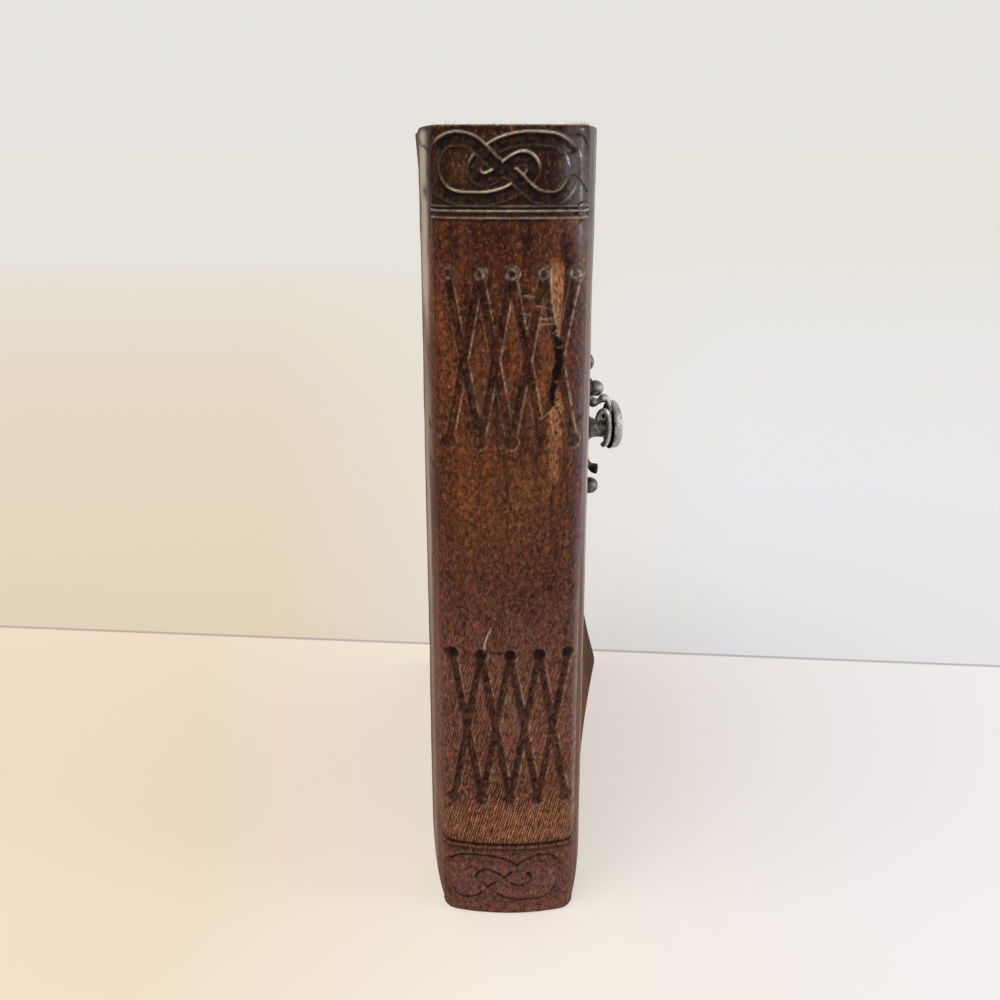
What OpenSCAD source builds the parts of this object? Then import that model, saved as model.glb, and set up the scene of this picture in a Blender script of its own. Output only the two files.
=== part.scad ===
// Leather journal with an embossed spine, standing closed on its lower edge.
// Origin: middle of the spine's lower edge, half way through the leather.
// +Z is up, -Y is the way the spine faces, +X is the side of the front cover.

/* [Cover] */
// Height of the covers
cover_h = 178; // [150:1:210]
// Depth of the book, face of the spine to fore-edge of the covers
cover_d = 135; // [120:1:160]
// Thickness of the leather
leather_t = 2.6; // [2:0.1:3.2]
// Radius of the fore-edge corners of the covers
corner_r = 4; // [2:0.5:8]

/* [Spine] */
// Width across the spine
spine_w = 31; // [28:0.5:40]
// How far the middle of the spine stands out past its shoulders
spine_bow = 2.6; // [1.6:0.1:3.4]
// Radius of the shoulders, where the spine turns into the covers
shoulder_r = 4.2; // [3.6:0.1:5]
// Gap between the spine and a cover at the fold
fold_gap = 0.3; // [0.2:0.05:0.5]

/* [Sides] */
// How much the front cover swells out just behind its fold
front_swell = 2.6; // [1:0.1:4]
// How much the front cover leans out for each millimetre of depth
front_taper = 0.052; // [0.03:0.002:0.08]
// How much the back cover swells out just behind its fold
back_swell = 3; // [1:0.1:4]
// How much the back cover leans out for each millimetre of depth
back_taper = 0.06; // [0.03:0.002:0.08]
// Depth over which either cover swells out
swell_run = 14; // [8:1:20]
// How far the lower fore-edge corner of the front cover curls out
front_curl = 7.5; // [0:0.5:10]
// Height that the curl of the front cover reaches
front_curl_h = 52; // [30:1:70]
// How far the upper fore-edge corner of the back cover curls out
back_curl = 1.8; // [0:0.1:4]
// Height of the curl of the back cover
back_curl_h = 40; // [20:1:60]
// Depth of a curl, back from the fore-edge
curl_d = 82; // [50:1:100]

/* [Pages] */
// How far the page edges stand back from the edges of the covers
page_inset = 3; // [2:0.5:6]
// Gap between the pages and the leather
page_gap = 0.4; // [0.3:0.1:1]
// Number of gatherings of folded sheets
gatherings = 9; // [5:1:14]
// How far the fore-edge of a gathering bulges out
gathering_bulge = 0.9; // [0.3:0.1:1.5]

/* [Embossing] */
// Depth of the embossing
emboss_d = 0.5; // [0.2:0.05:0.8]
// Height of the middle of the upper knot, down from the top edge
upper_knot_drop = 8; // [7.5:0.1:12]
// Height of the middle of the lower knot above the bottom edge
lower_knot_rise = 9; // [8.5:0.1:12]
// Height of the middle of the border line pair, away from the middle of a knot
border_line_off = 8.4; // [8:0.1:12]
// Width of one border line
border_line_w = 0.8; // [0.4:0.1:1.2]
// Distance between the two lines of a border, middle to middle
border_line_step = 1.5; // [1.3:0.1:2.5]
// Width of the ribbon in a knot
ribbon_w = 2.2; // [1.4:0.1:2.4]
// Width of the rim that shows which ribbon passes over
ribbon_rim = 0.45; // [0.3:0.05:0.6]
// Stretch in height of the lower knot
lower_knot_stretch = 1.1; // [0.9:0.05:1.2]
// Number of dots in a row of the crossed lacing
lacing_columns = 5; // [3:1:5]
// Distance between two dots in a row of the lacing
lacing_step = 6.4; // [5:0.1:7]
// Width of one line of the lacing
lacing_line_w = 1.7; // [1:0.1:2.2]
// Diameter of a dot of the lacing
lacing_dot_d = 3.1; // [2.4:0.1:3.8]
// Height of the lower row of dots of the lower lacing
lower_lacing_z = 31.5; // [28:0.5:36]
// Height of one lacing, dot row to dot row, in the lower group
lower_lacing_h = 36.5; // [28:0.5:40]
// Height of the lower row of dots of the upper lacing
upper_lacing_z = 116.3; // [100:0.5:118]
// Height of one lacing, dot row to dot row, in the upper group
upper_lacing_h = 34; // [20:0.5:36]

/* [Clasp] */
// Height of the middle of the clasp
clasp_z = 91; // [80:1:100]
// Distance of the clasp from the fore-edge
clasp_inset = 23; // [18:1:40]
// Thickness of the plate of the clasp
plate_t = 1.2; // [0.8:0.1:1.6]
// Radius of the round middle of the plate
plate_mid_r = 7.6; // [6:0.1:9]
// Radius of the round ends of the plate
plate_end_r = 4.2; // [3.5:0.1:5]
// Width of the necks of the plate
plate_neck_w = 4.6; // [3:0.1:6]
// Height of the upper rivet over the middle of the clasp
upper_rivet_rise = 20.6; // [17:0.1:24]
// Depth of the lower rivet under the middle of the clasp
lower_rivet_drop = 18.7; // [18:0.1:24]
// Radius of a rivet head
rivet_head_r = 2.6; // [2:0.1:3]
// Height of the head of the upper rivet over the plate
upper_head_h = 1.9; // [1:0.1:2.4]
// Height of the head of the lower rivet over the plate
lower_head_h = 3.4; // [1.5:0.1:4]
// Radius of a rivet shank
rivet_r = 1.2; // [0.8:0.05:1.5]
// Radius of the neck of the stud
stud_neck_r = 3.1; // [2.5:0.1:3.4]
// Radius of the disc head of the stud
stud_head_r = 7.4; // [6:0.1:8]
// Height of the stud over the cover
stud_h = 11.4; // [10.5:0.1:13]
// Thickness of the rim of the disc head
stud_rim_t = 1.5; // [1:0.1:2]
// Height of the dome on the disc head
stud_dome_h = 0.9; // [0.4:0.1:1.4]
// Radius of the shank that holds the stud in the leather
stud_shank_r = 2; // [1.5:0.1:2.4]
// Height of the pivot of the swing hook over the middle of the clasp
pivot_rise = 12.5; // [12:0.1:13.5]
// How far the tip of the leaf curls out of the plate
leaf_rise = 3.3; // [2:0.1:4]
// Thickness of the leaf
leaf_t = 1.1; // [0.8:0.1:1.4]
// Half the width of the leaf at its tip
leaf_tip_w = 3.2; // [2:0.1:4]
// Radius of the ball on the pivot
pivot_ball_r = 2.5; // [2:0.1:2.8]
// Radius of the hub of the swing hook
hub_r = 3; // [2.6:0.1:3.2]
// Thickness of the hub of the swing hook
hub_t = 1.4; // [1:0.1:1.6]
// Thickness of the claw of the swing hook
claw_t = 2; // [1.4:0.1:2.2]
// Width of the claw, across the ring
claw_w = 1.7; // [1.2:0.1:2]

/* [Strap] */
// Width of the strap
strap_w = 24; // [22:0.5:28]
// Thickness of the strap, which is cut in one with the back cover
strap_t = 2.2; // [1.6:0.1:2.6]
// How far past the middle of the book the strap folds back on itself
strap_turn_x = 18; // [10:1:20]
// How far short of the middle the middle of the ring lies
ring_x = -3; // [-6:0.5:2]
// Inner radius of the ring, which drops over the head of the stud
ring_hole_r = 8; // [7.8:0.1:8.2]
// Width of the flange of the ring
ring_flange = 2.6; // [2:0.1:3]
// Thickness of the flange of the ring
ring_t = 1.1; // [0.8:0.1:1.5]

/* [Hidden] */
$fn = 48;

// Frame and spine
fold_run = 0.3;
half_w = spine_w / 2;
face_y = -leather_t / 2;
fore_y = face_y + cover_d;
crown_r = (half_w * half_w + spine_bow * spine_bow) / (2 * spine_bow);
shoulder_x = half_w - shoulder_r;
shoulder_y = face_y + crown_r - sqrt(pow(crown_r - shoulder_r, 2) - shoulder_x * shoulder_x);
shoulder_a = asin(shoulder_x / (crown_r - shoulder_r));
fold_y = shoulder_y + fold_run;
cover_y = fold_y + fold_gap;
cover_len = fore_y - cover_y;

// Fits
seat_gap = 0.05;
pin_gap = 0.05;
burr_t = 0.6;
burr_w = 1.8;
burr_recess = 1.1;
burr_gap = 0.1;
peen_t = 0.3;
peen_w = 0.5;
root_in = 0.5;
swing_gap = 0.1;
claw_gap = 0.8;

// Facets of the curved leather
depth_cells = 16;
depth_crowding = 1.15;
corner_cells = 4;
straight_cells = 12;
height_cells = straight_cells + 2 * corner_cells;
crown_facets = 8;
shoulder_facets = 4;

leather = [0.36, 0.20, 0.15];
leather_dark = [0.30, 0.17, 0.13];
paper = [0.90, 0.85, 0.74];
metal = [0.36, 0.35, 0.31];
metal_light = [0.50, 0.48, 0.43];

// Face of the spine, seen from above, from the left fold to the right one
function spine_line(inset) = concat(
    [[-(half_w - inset), fold_y]],
    [for (k = [0:shoulder_facets]) let (a = 90 - (90 - shoulder_a) * k / shoulder_facets)
        [-shoulder_x - (shoulder_r - inset) * sin(a), shoulder_y - (shoulder_r - inset) * cos(a)]],
    [for (k = [1:crown_facets - 1]) let (a = -shoulder_a + 2 * shoulder_a * k / crown_facets)
        [(crown_r - inset) * sin(a), face_y + crown_r - (crown_r - inset) * cos(a)]],
    [for (k = [0:shoulder_facets]) let (a = shoulder_a + (90 - shoulder_a) * k / shoulder_facets)
        [shoulder_x + (shoulder_r - inset) * sin(a), shoulder_y - (shoulder_r - inset) * cos(a)]],
    [[half_w - inset, fold_y]]
);

function reversed(list) = [for (k = [len(list) - 1:-1:0]) list[k]];

// Outer face of a cover: distance from the middle of the book at depth s past the fold
function side(s, swell, taper) = half_w + swell * (1 - exp(-s / swell_run)) + taper * s;

// How far a curled corner stands out at depth s, with h the height from its corner
function curl(s, h, amount, reach) =
    amount * pow(max(0, s - (cover_len - curl_d)) / curl_d, 1.4) * pow(max(0, 1 - h / reach), 2.2);

// Height of a row of points on a cover, with the rows close together at the round corners
function row_z(j) =
    let (k = min(j, height_cells - j),
         z = k < corner_cells ? corner_r * (1 - cos(90 * k / corner_cells))
            : corner_r + (cover_h - 2 * corner_r) * (k - corner_cells) / straight_cells)
        j > height_cells / 2 ? cover_h - z : z;

// How much a round corner takes from the depth of a cover at height z
function corner_cut(z) =
    let (e = corner_r - min(z, cover_h - z, corner_r)) corner_r - sqrt(corner_r * corner_r - e * e);

// A point on a smooth curve through four points, with t from 0 to 1 between the middle two
function curve_point(a, b, c, d, t) =
    0.5 * (2 * b + (c - a) * t + (2 * a - 5 * b + 4 * c - d) * t * t + (3 * b - a - 3 * c + d) * t * t * t);

// A smooth curve through a list of points
function smooth(list, steps) = concat(
    [for (k = [0:len(list) - 2]) for (j = [0:steps - 1])
        curve_point(list[max(k - 1, 0)], list[k], list[k + 1], list[min(k + 2, len(list) - 1)], j / steps)],
    [list[len(list) - 1]]
);

// One side of a path, at a distance to its left
function beside(path, off) = [for (k = [0:len(path) - 1])
    let (d = path[min(k + 1, len(path) - 1)] - path[max(k - 1, 0)], n = norm(d))
        path[k] + off * [-d[1], d[0]] / n];

// Middle line of half of the knot, from its middle through one hook and one end loop.
// The other half is the same line turned half round.
knot_half = [[2.2, 1.5], [3.8, 2.0], [5.1, 1.4], [5.7, 0.1], [5.2, -1.3], [4.0, -2.4], [2.3, -3.6],
             [0, -4.7], [-3, -5.4], [-6.5, -5.5], [-10, -5.1], [-12.5, -3.4], [-13.6, -0.5],
             [-13.2, 2.6], [-11.5, 4.8], [-9, 5.5], [-6.2, 4.9], [-4.0, 3.2], [-2.0, 1.2]];
// The same line with the stretches that lead into and out of it, as a smooth curve
knot_count = len(knot_half);
knot_steps = 2;
knot_path = smooth(concat([-knot_half[1], -knot_half[0], [0, 0]], knot_half,
                          [[0, 0], -knot_half[knot_count - 1], -knot_half[knot_count - 2]]), knot_steps);
hook_points = 10;
knot_start = 2 * knot_steps;
knot_mid = knot_start + hook_points * knot_steps;
knot_end = knot_start + (knot_count + 1) * knot_steps;
hook_run = [knot_start, knot_mid];
loop_run = [knot_mid, knot_end];
middle_over = [knot_start, knot_start + 2 * knot_steps];
side_over = [knot_end - 3 * knot_steps, knot_end - knot_steps];

// How far each pattern was pressed off the middle of the spine
upper_knot_x = -1.2;
lower_knot_x = -0.4;
lacing_x = 0.35;
lower_border_extra = 1;

// Rounds a list of points to a fine grid, so that halves of a pattern meet exactly
function on_grid(list, grid) = [for (p = list) [round(p[0] / grid), round(p[1] / grid)] * grid];

module ribbon(path, w) polygon(concat(beside(path, w / 2), reversed(beside(path, -w / 2))));

// A stretch of the knot's line between two distances to its left, with its copy turned half round
module knot_run(run, from, to) {
    near = on_grid(beside(knot_path, from), 0.001);
    far = on_grid(beside(knot_path, to), 0.001);
    for (turn = [0, 180]) rotate(turn)
        polygon(concat([for (k = [run[0]:run[1]]) near[k]], [for (k = [run[1]:-1:run[0]]) far[k]]));
}

// The knot: a closed ribbon, cut beside each stretch that passes over another
module knot_2d() {
    edge = ribbon_w / 2;
    difference() {
        union() {
            knot_run(hook_run, -edge, edge);
            knot_run(loop_run, -edge, edge);
        }
        for (run = [middle_over, side_over]) {
            knot_run(run, edge, edge + ribbon_rim);
            knot_run(run, -edge, -edge - ribbon_rim);
        }
    }
}

module border_lines_2d() {
    for (z = [-border_line_step / 2, border_line_step / 2])
        translate([-spine_w, z - border_line_w / 2]) square([2 * spine_w, border_line_w]);
}

// Crossed lacing between two rows of dots
module lacing_2d(h) {
    first = -(lacing_columns - 1) / 2 * lacing_step;
    for (k = [0:lacing_columns - 1]) for (z = [0, h])
        translate([first + k * lacing_step, z]) circle(d = lacing_dot_d);
    for (k = [0:lacing_columns - 2]) {
        left = first + k * lacing_step;
        ribbon([[left, 0], [left + lacing_step, h]], lacing_line_w);
        ribbon([[left + lacing_step, 0], [left, h]], lacing_line_w);
    }
}

module spine_pattern_2d() {
    translate([upper_knot_x, cover_h - upper_knot_drop]) knot_2d();
    translate([0, cover_h - upper_knot_drop - border_line_off]) border_lines_2d();
    translate([lower_knot_x, lower_knot_rise]) mirror([1, 0]) scale([1, lower_knot_stretch]) knot_2d();
    translate([0, lower_knot_rise + border_line_off + lower_border_extra]) border_lines_2d();
    translate([lacing_x, upper_lacing_z]) lacing_2d(upper_lacing_h);
    translate([lacing_x, lower_lacing_z]) lacing_2d(lower_lacing_h);
}

module spine_leather() {
    cut_back = face_y + spine_bow + emboss_d;
    color(leather) difference() {
        linear_extrude(cover_h)
            polygon(concat(spine_line(0), reversed(spine_line(leather_t))));
        difference() {
            translate([0, cut_back, 0]) rotate([90, 0, 0])
                linear_extrude(cut_back - face_y + 1) spine_pattern_2d();
            translate([0, 0, -1]) linear_extrude(cover_h + 2)
                polygon(spine_line(emboss_d));
        }
    }
}

// Curved leather of one cover, built on the +X side.
// inset moves its outer face inwards. high says that its upper corner is the curled one.
module cover_leather(swell, taper, curl_out, curl_reach, high) {
    row = depth_cells + 1;
    sheet = row * (height_cells + 1);
    points = [for (skin = [0, leather_t]) for (j = [0:height_cells]) for (i = [0:depth_cells])
        let (z = row_z(j),
             s = (cover_len - corner_cut(z)) * pow(i / depth_cells, depth_crowding),
             h = high ? cover_h - z : z)
            [side(s, swell, taper) + curl(s, h, curl_out, curl_reach) - skin, cover_y + s, z]];
    skins = [for (j = [0:height_cells - 1]) for (i = [0:depth_cells - 1])
        let (a = j * row + i, b = a + 1, c = a + row + 1, d = a + row)
            each [[a, d, c], [a, c, b], [a + sheet, b + sheet, c + sheet], [a + sheet, c + sheet, d + sheet]]];
    level_edges = [for (i = [0:depth_cells - 1])
        let (a = i, b = i + 1, d = height_cells * row + i, c = d + 1)
            each [[a, b, b + sheet], [a, b + sheet, a + sheet], [c, d, d + sheet], [c, d + sheet, c + sheet]]];
    upright_edges = [for (j = [0:height_cells - 1])
        let (a = j * row, d = a + row, b = a + depth_cells, c = b + row)
            each [[d, a, a + sheet], [d, a + sheet, d + sheet], [b, c, c + sheet], [b, c + sheet, b + sheet]]];
    polyhedron(points, concat(skins, level_edges, upright_edges));
}

// Places children on the outer face of a cover, +X out of the leather and +Y to the fore-edge
module on_cover(swell, taper, s, z) {
    lean = atan(taper + swell / swell_run * exp(-s / swell_run));
    translate([side(s, swell, taper), cover_y + s, z]) rotate([0, 0, -lean]) children();
}

module on_clasp() on_cover(front_swell, front_taper, cover_len - clasp_inset, clasp_z) children();

// Stands a flat outline up, so that it is extruded along +X
module out_extrude(from, to) {
    translate([from, 0, 0]) rotate([90, 0, 90]) linear_extrude(to - from) children();
}

module out_rod(r, from, to) {
    translate([from, 0, 0]) rotate([0, 90, 0]) cylinder(r = r, h = to - from);
}

// Inner face of the burrs
foot = burr_recess - leather_t - burr_t;

// Hole for a shank, with the recess that takes its burr on the inside of the leather
module shank_hole(r) {
    out_rod(r + pin_gap, -leather_t - 1, 1);
    out_rod(r + burr_w + burr_gap, -leather_t - 1, burr_recess - leather_t);
}

// Washer that the end of a shank is peened over
module burr(r) {
    difference() {
        out_rod(r + burr_w, foot, foot + burr_t - seat_gap / 2);
        out_rod(r + pin_gap, foot - 1, foot + burr_t + 1);
    }
}

// Shank from the outside of a plate down to its peened end
module shank(r, top) {
    out_rod(r, foot, top);
    out_rod(r + peen_w, foot - peen_t, foot);
}

// Turns an outline of radius and height about +X
module turned() rotate([90, 0, 90]) rotate_extrude() children();

// Domed rivet through a plate whose outer face is at height seat
module domed_rivet(seat, head_h) {
    dome = [for (k = [0:8]) [rivet_head_r * cos(90 * k / 8), seat + head_h * sin(90 * k / 8)]];
    shank(rivet_r, seat + root_in);
    turned() polygon(concat([[0, seat]], dome));
}

module page_block() {
    back_x = shoulder_x;
    back_y = face_y + leather_t + page_gap;
    fore = fore_y - page_inset - gathering_bulge;
    depth = fore - cover_y;
    inset = leather_t + page_gap;
    left = -(side(depth, back_swell, back_taper) - inset);
    right = side(depth, front_swell, front_taper) - inset;
    spine_side = [for (k = [0:8]) let (x = -back_x + 2 * back_x * k / 8)
        [x, back_y + x * x / (2 * crown_r)]];
    front_side = [for (k = [0:12]) let (s = depth * k / 12)
        [side(s, front_swell, front_taper) - inset, cover_y + s]];
    fore_side = [for (g = [0:gatherings - 1]) for (k = [0:4])
        let (u = (g + k / 5) / gatherings)
            [right + (left - right) * u, fore + gathering_bulge * sin(36 * k)]];
    back_side = [for (k = [12:-1:0]) let (s = depth * k / 12)
        [-(side(s, back_swell, back_taper) - inset), cover_y + s]];
    color(paper) translate([0, 0, page_inset]) linear_extrude(cover_h - 2 * page_inset)
        polygon(concat(spine_side, front_side, [for (k = [1:len(fore_side) - 1]) fore_side[k]], back_side));
}

module front_cover() {
    color(leather_dark) difference() {
        cover_leather(front_swell, front_taper, front_curl, front_curl_h, false);
        on_clasp() {
            shank_hole(stud_shank_r);
            translate([0, 0, upper_rivet_rise]) shank_hole(rivet_r);
            translate([0, 0, -lower_rivet_drop]) shank_hole(rivet_r);
        }
    }
}

// The back cover, with the strap cut in one with it
module back_cover() {
    color(leather_dark) {
        mirror([1, 0, 0]) cover_leather(back_swell, back_taper, back_curl, back_curl_h, true);
        strap();
    }
}

plate_top = seat_gap + plate_t;
rim = stud_h - stud_dome_h;
head_in = rim - stud_rim_t - 0.2;

module plate_2d() {
    circle(r = plate_mid_r);
    translate([0, upper_rivet_rise]) circle(r = plate_end_r);
    translate([0, -lower_rivet_drop]) circle(r = plate_end_r);
    translate([0, pivot_rise]) circle(r = hub_r + 0.8);
    translate([-plate_neck_w / 2, -lower_rivet_drop])
        square([plate_neck_w, upper_rivet_rise + lower_rivet_drop]);
}

// Leaf that curls out of the lower neck of the plate and flares towards its tip
module leaf() {
    root = 1.5 - plate_mid_r;
    tip = -lower_rivet_drop + rivet_head_r + 2 * leaf_t;
    leaf_root_w = 0.4 * leaf_tip_w;
    spring_line = smooth([[plate_top - leaf_t / 2, root],
                          [plate_top + 0.1 * leaf_rise, (2 * root + tip) / 3],
                          [plate_top + 0.4 * leaf_rise, (root + 2 * tip) / 3],
                          [plate_top + leaf_rise, tip]], 4);
    intersection() {
        translate([0, plate_mid_r, 0]) rotate([90, 0, 0])
            linear_extrude(2 * plate_mid_r) ribbon(spring_line, leaf_t);
        out_extrude(plate_top - leaf_t / 2 - 0.05, plate_top + leaf_rise + 2 * leaf_t)
            polygon([[-leaf_root_w, root + 1], [leaf_root_w, root + 1],
                     [leaf_tip_w, tip - 1], [-leaf_tip_w, tip - 1]]);
    }
}

module clasp_plate() {
    color(metal) on_clasp() {
        difference() {
            out_extrude(seat_gap, plate_top) plate_2d();
            out_rod(stud_shank_r + pin_gap, -1, plate_top + 1);
            for (z = [upper_rivet_rise, -lower_rivet_drop])
                translate([0, 0, z]) out_rod(rivet_r + pin_gap, -1, plate_top + 1);
            translate([0, 0, pivot_rise]) out_rod(rivet_r + pin_gap, -1, plate_top + 1);
        }
        leaf();
    }
}

module clasp_stud() {
    color(metal_light) on_clasp() {
        shank(stud_shank_r, plate_top + root_in);
        turned() polygon(concat(
            [[0, plate_top], [stud_neck_r + 0.6, plate_top], [stud_neck_r + 0.1, plate_top + 1.2],
             [stud_neck_r, plate_top + 2.6], [stud_neck_r + 0.1, head_in - 1.4],
             [stud_neck_r + 0.7, head_in - 0.2], [stud_head_r - 1.2, head_in + 0.2],
             [stud_head_r, rim - stud_rim_t], [stud_head_r, rim]],
            [for (k = [1:8]) [stud_head_r * cos(90 * k / 8), rim + stud_dome_h * sin(90 * k / 8)]]));
    }
}

module plate_rivet_upper() {
    color(metal) on_clasp() translate([0, 0, upper_rivet_rise]) domed_rivet(plate_top, upper_head_h);
}

module plate_rivet_lower() {
    color(metal_light) on_clasp() translate([0, 0, -lower_rivet_drop]) domed_rivet(plate_top, lower_head_h);
}

module stud_burr() color(metal) on_clasp() burr(stud_shank_r);

module plate_burr_upper() color(metal) on_clasp() translate([0, 0, upper_rivet_rise]) burr(rivet_r);

module plate_burr_lower() color(metal) on_clasp() translate([0, 0, -lower_rivet_drop]) burr(rivet_r);

hub_from = plate_top + swing_gap;
hub_to = hub_from + hub_t;
claw_from = head_in - claw_t - claw_gap - 0.1;
claw_in_r = stud_neck_r + claw_gap;

module hook_pivot() {
    ball_x = hub_to + swing_gap + sqrt(pow(pivot_ball_r, 2) - pow(rivet_r, 2)) - root_in - 0.1;
    color(metal_light) on_clasp() translate([0, 0, pivot_rise]) {
        out_rod(rivet_r, seat_gap, hub_to + 2 * root_in);
        difference() {
            translate([ball_x, 0, 0]) sphere(r = pivot_ball_r);
            out_rod(pivot_ball_r + 1, ball_x - pivot_ball_r - 1, hub_to + swing_gap);
        }
    }
}

// Hook that swings on its pivot and closes its claw round the neck of the stud
module swing_hook() {
    claw_mid = claw_from + claw_t / 2;
    claw_out_r = claw_in_r + claw_w;
    root_r = 0.9;
    bend_r = 1.35;
    tip_r = 0.95;
    lever_root = [hub_from + root_r, -0.5 * hub_r, pivot_rise - hub_r - 0.2];
    lever_shoulder = [claw_mid - 0.2, -2.2, claw_out_r + 2 * bend_r];
    lever_tip = [claw_mid, -claw_in_r - tip_r, 2.6];
    color(metal_light) on_clasp() {
        difference() {
            union() {
                translate([0, 0, pivot_rise]) out_rod(hub_r, hub_from, hub_to);
                hull() {
                    translate(lever_root) sphere(r = root_r, $fn = 24);
                    translate(lever_shoulder) sphere(r = bend_r, $fn = 24);
                }
                hull() {
                    translate(lever_shoulder) sphere(r = bend_r, $fn = 24);
                    translate(lever_tip) sphere(r = tip_r, $fn = 24);
                }
            }
            translate([0, 0, pivot_rise]) out_rod(rivet_r + pin_gap, hub_from - 1, hub_to + 1);
            out_rod(claw_in_r - 0.1, claw_from - 1, claw_from + claw_t + 1);
        }
        difference() {
            out_rod(claw_out_r, claw_from, claw_from + claw_t);
            out_rod(claw_in_r, claw_from - 1, claw_from + claw_t + 1);
            out_extrude(claw_from - 1, claw_from + claw_t + 1)
                polygon([[0, 0], [-3.5, 9], [9, 9], [9, -9], [1.8, -9]]);
        }
    }
}

strap_bend_r = 3;
strap_root = 3;
strap_turn_r = strap_t / 2 + 0.5;
strap_cross_y = fore_y + strap_bend_r;
strap_lap_y = strap_cross_y + 2 * strap_turn_r;

// Middle line of the strap, seen from above: out of the cover, round the fore-edge and back on itself
function strap_path() =
    let (edge = side(cover_len, back_swell, back_taper) - leather_t / 2)
        concat(
            [for (s = [cover_len - strap_root, cover_len - strap_root / 2])
                [leather_t / 2 - side(s, back_swell, back_taper), cover_y + s]],
            [for (a = [0:15:90]) [-edge + strap_bend_r * (1 - cos(a)), fore_y + strap_bend_r * sin(a)]],
            [for (a = [0:20:180])
                [strap_turn_x + strap_turn_r * sin(a), strap_cross_y + strap_turn_r * (1 - cos(a))]],
            [[ring_x - strap_w / 2, strap_lap_y]]
        );

// Half-round end of the strap, as the piece to cut away
module strap_end_cut() {
    difference() {
        translate([-strap_w, -strap_w]) square([strap_w, 2 * strap_w]);
        circle(r = strap_w / 2);
    }
}

module strap() {
    difference() {
        translate([0, 0, clasp_z - strap_w / 2]) linear_extrude(strap_w)
            ribbon(strap_path(), strap_t);
        translate([ring_x, strap_lap_y + strap_t, clasp_z]) rotate([90, 0, 0])
            linear_extrude(strap_t + strap_turn_r) {
                strap_end_cut();
                circle(r = ring_hole_r + 0.6 + pin_gap);
            }
    }
}

// Eyelet ring: a flange on the outer face of the strap and a barrel through it
module strap_ring() {
    face = strap_lap_y + strap_t / 2;
    color(metal) translate([ring_x, 0, clasp_z]) difference() {
        union() {
            translate([0, face + seat_gap + ring_t, 0]) rotate([90, 0, 0])
                cylinder(r = ring_hole_r + ring_flange, h = ring_t);
            translate([0, face + seat_gap + ring_t, 0]) rotate([90, 0, 0])
                cylinder(r = ring_hole_r + 0.6, h = ring_t + seat_gap + strap_t - 0.1);
        }
        translate([0, face + strap_t, 0]) rotate([90, 0, 0])
            cylinder(r = ring_hole_r, h = 3 * strap_t);
    }
}

spine_leather();
page_block();
front_cover();
clasp_plate();
clasp_stud();
stud_burr();
plate_rivet_upper();
plate_burr_upper();
plate_rivet_lower();
plate_burr_lower();
hook_pivot();
swing_hook();
back_cover();
strap_ring();
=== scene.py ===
"""Looks of a leather journal: embossed wrap, paper, clasp and strap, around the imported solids."""
import math

import bmesh
import bpy
import numpy as np
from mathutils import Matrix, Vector


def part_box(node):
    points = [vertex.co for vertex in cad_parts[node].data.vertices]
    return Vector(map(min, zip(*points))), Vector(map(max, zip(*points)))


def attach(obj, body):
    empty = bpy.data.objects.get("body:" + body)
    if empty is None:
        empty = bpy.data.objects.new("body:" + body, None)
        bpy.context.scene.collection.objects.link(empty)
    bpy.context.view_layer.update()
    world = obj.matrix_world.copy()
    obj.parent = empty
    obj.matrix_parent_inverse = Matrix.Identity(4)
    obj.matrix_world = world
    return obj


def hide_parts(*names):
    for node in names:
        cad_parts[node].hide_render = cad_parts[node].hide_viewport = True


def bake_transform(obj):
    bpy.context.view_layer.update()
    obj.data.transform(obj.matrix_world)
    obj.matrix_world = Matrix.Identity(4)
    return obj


bl_info = {
    "name": "Leather journal",
    "version": (1, 0, 0),
    "blender": (4, 5, 0),
    "location": "3D View > Sidebar > Journal",
    "description": "Embossed leather wrap, hand-cut pages, clasp and strap of a journal",
    "category": "Object",
}

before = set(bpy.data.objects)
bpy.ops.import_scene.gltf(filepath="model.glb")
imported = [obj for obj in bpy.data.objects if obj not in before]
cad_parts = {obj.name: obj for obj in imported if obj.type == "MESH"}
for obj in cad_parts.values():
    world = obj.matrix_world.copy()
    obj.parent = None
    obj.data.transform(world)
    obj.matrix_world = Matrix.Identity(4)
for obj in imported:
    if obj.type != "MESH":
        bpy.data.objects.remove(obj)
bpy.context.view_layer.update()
MM = 0.001
# Points closer than this are one point, in metres.
MERGE_DIST = 2e-7


def cad_span(node, axis):
    """Lowest and highest place of a CAD node along one axis, in millimetres."""
    low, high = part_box(node)
    return low[axis] / MM, high[axis] / MM


# Sizes of the wrap that follow from the frame, in millimetres.
COVER_H = cad_span("spine_leather", 2)[1]
HALF_W = cad_span("spine_leather", 0)[1]
FACE_Y = cad_span("spine_leather", 1)[0]
FOLD_Y = cad_span("spine_leather", 1)[1]
COVER_Y, FORE_Y = cad_span("front_cover", 1)
COVER_LEN = FORE_Y - COVER_Y
CLASP_Z = sum(cad_span("clasp_stud", 2)) / 2
LEATHER_T = 2.6
SPINE_BOW = 2.6
SHOULDER_R = 4.2

# Shape of the spine's face, seen from above.
CROWN_R = (HALF_W ** 2 + SPINE_BOW ** 2) / (2 * SPINE_BOW)
SHOULDER_X = HALF_W - SHOULDER_R
CROWN_ANGLE = math.asin(SHOULDER_X / (CROWN_R - SHOULDER_R))
SHOULDER_Y = FACE_Y + CROWN_R - math.sqrt((CROWN_R - SHOULDER_R) ** 2 - SHOULDER_X ** 2)
CROWN_ARC = CROWN_R * CROWN_ANGLE
SHOULDER_ARC = SHOULDER_R * (math.pi / 2 - CROWN_ANGLE)
HALF_ARC = CROWN_ARC + SHOULDER_ARC + FOLD_Y - SHOULDER_Y

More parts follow.
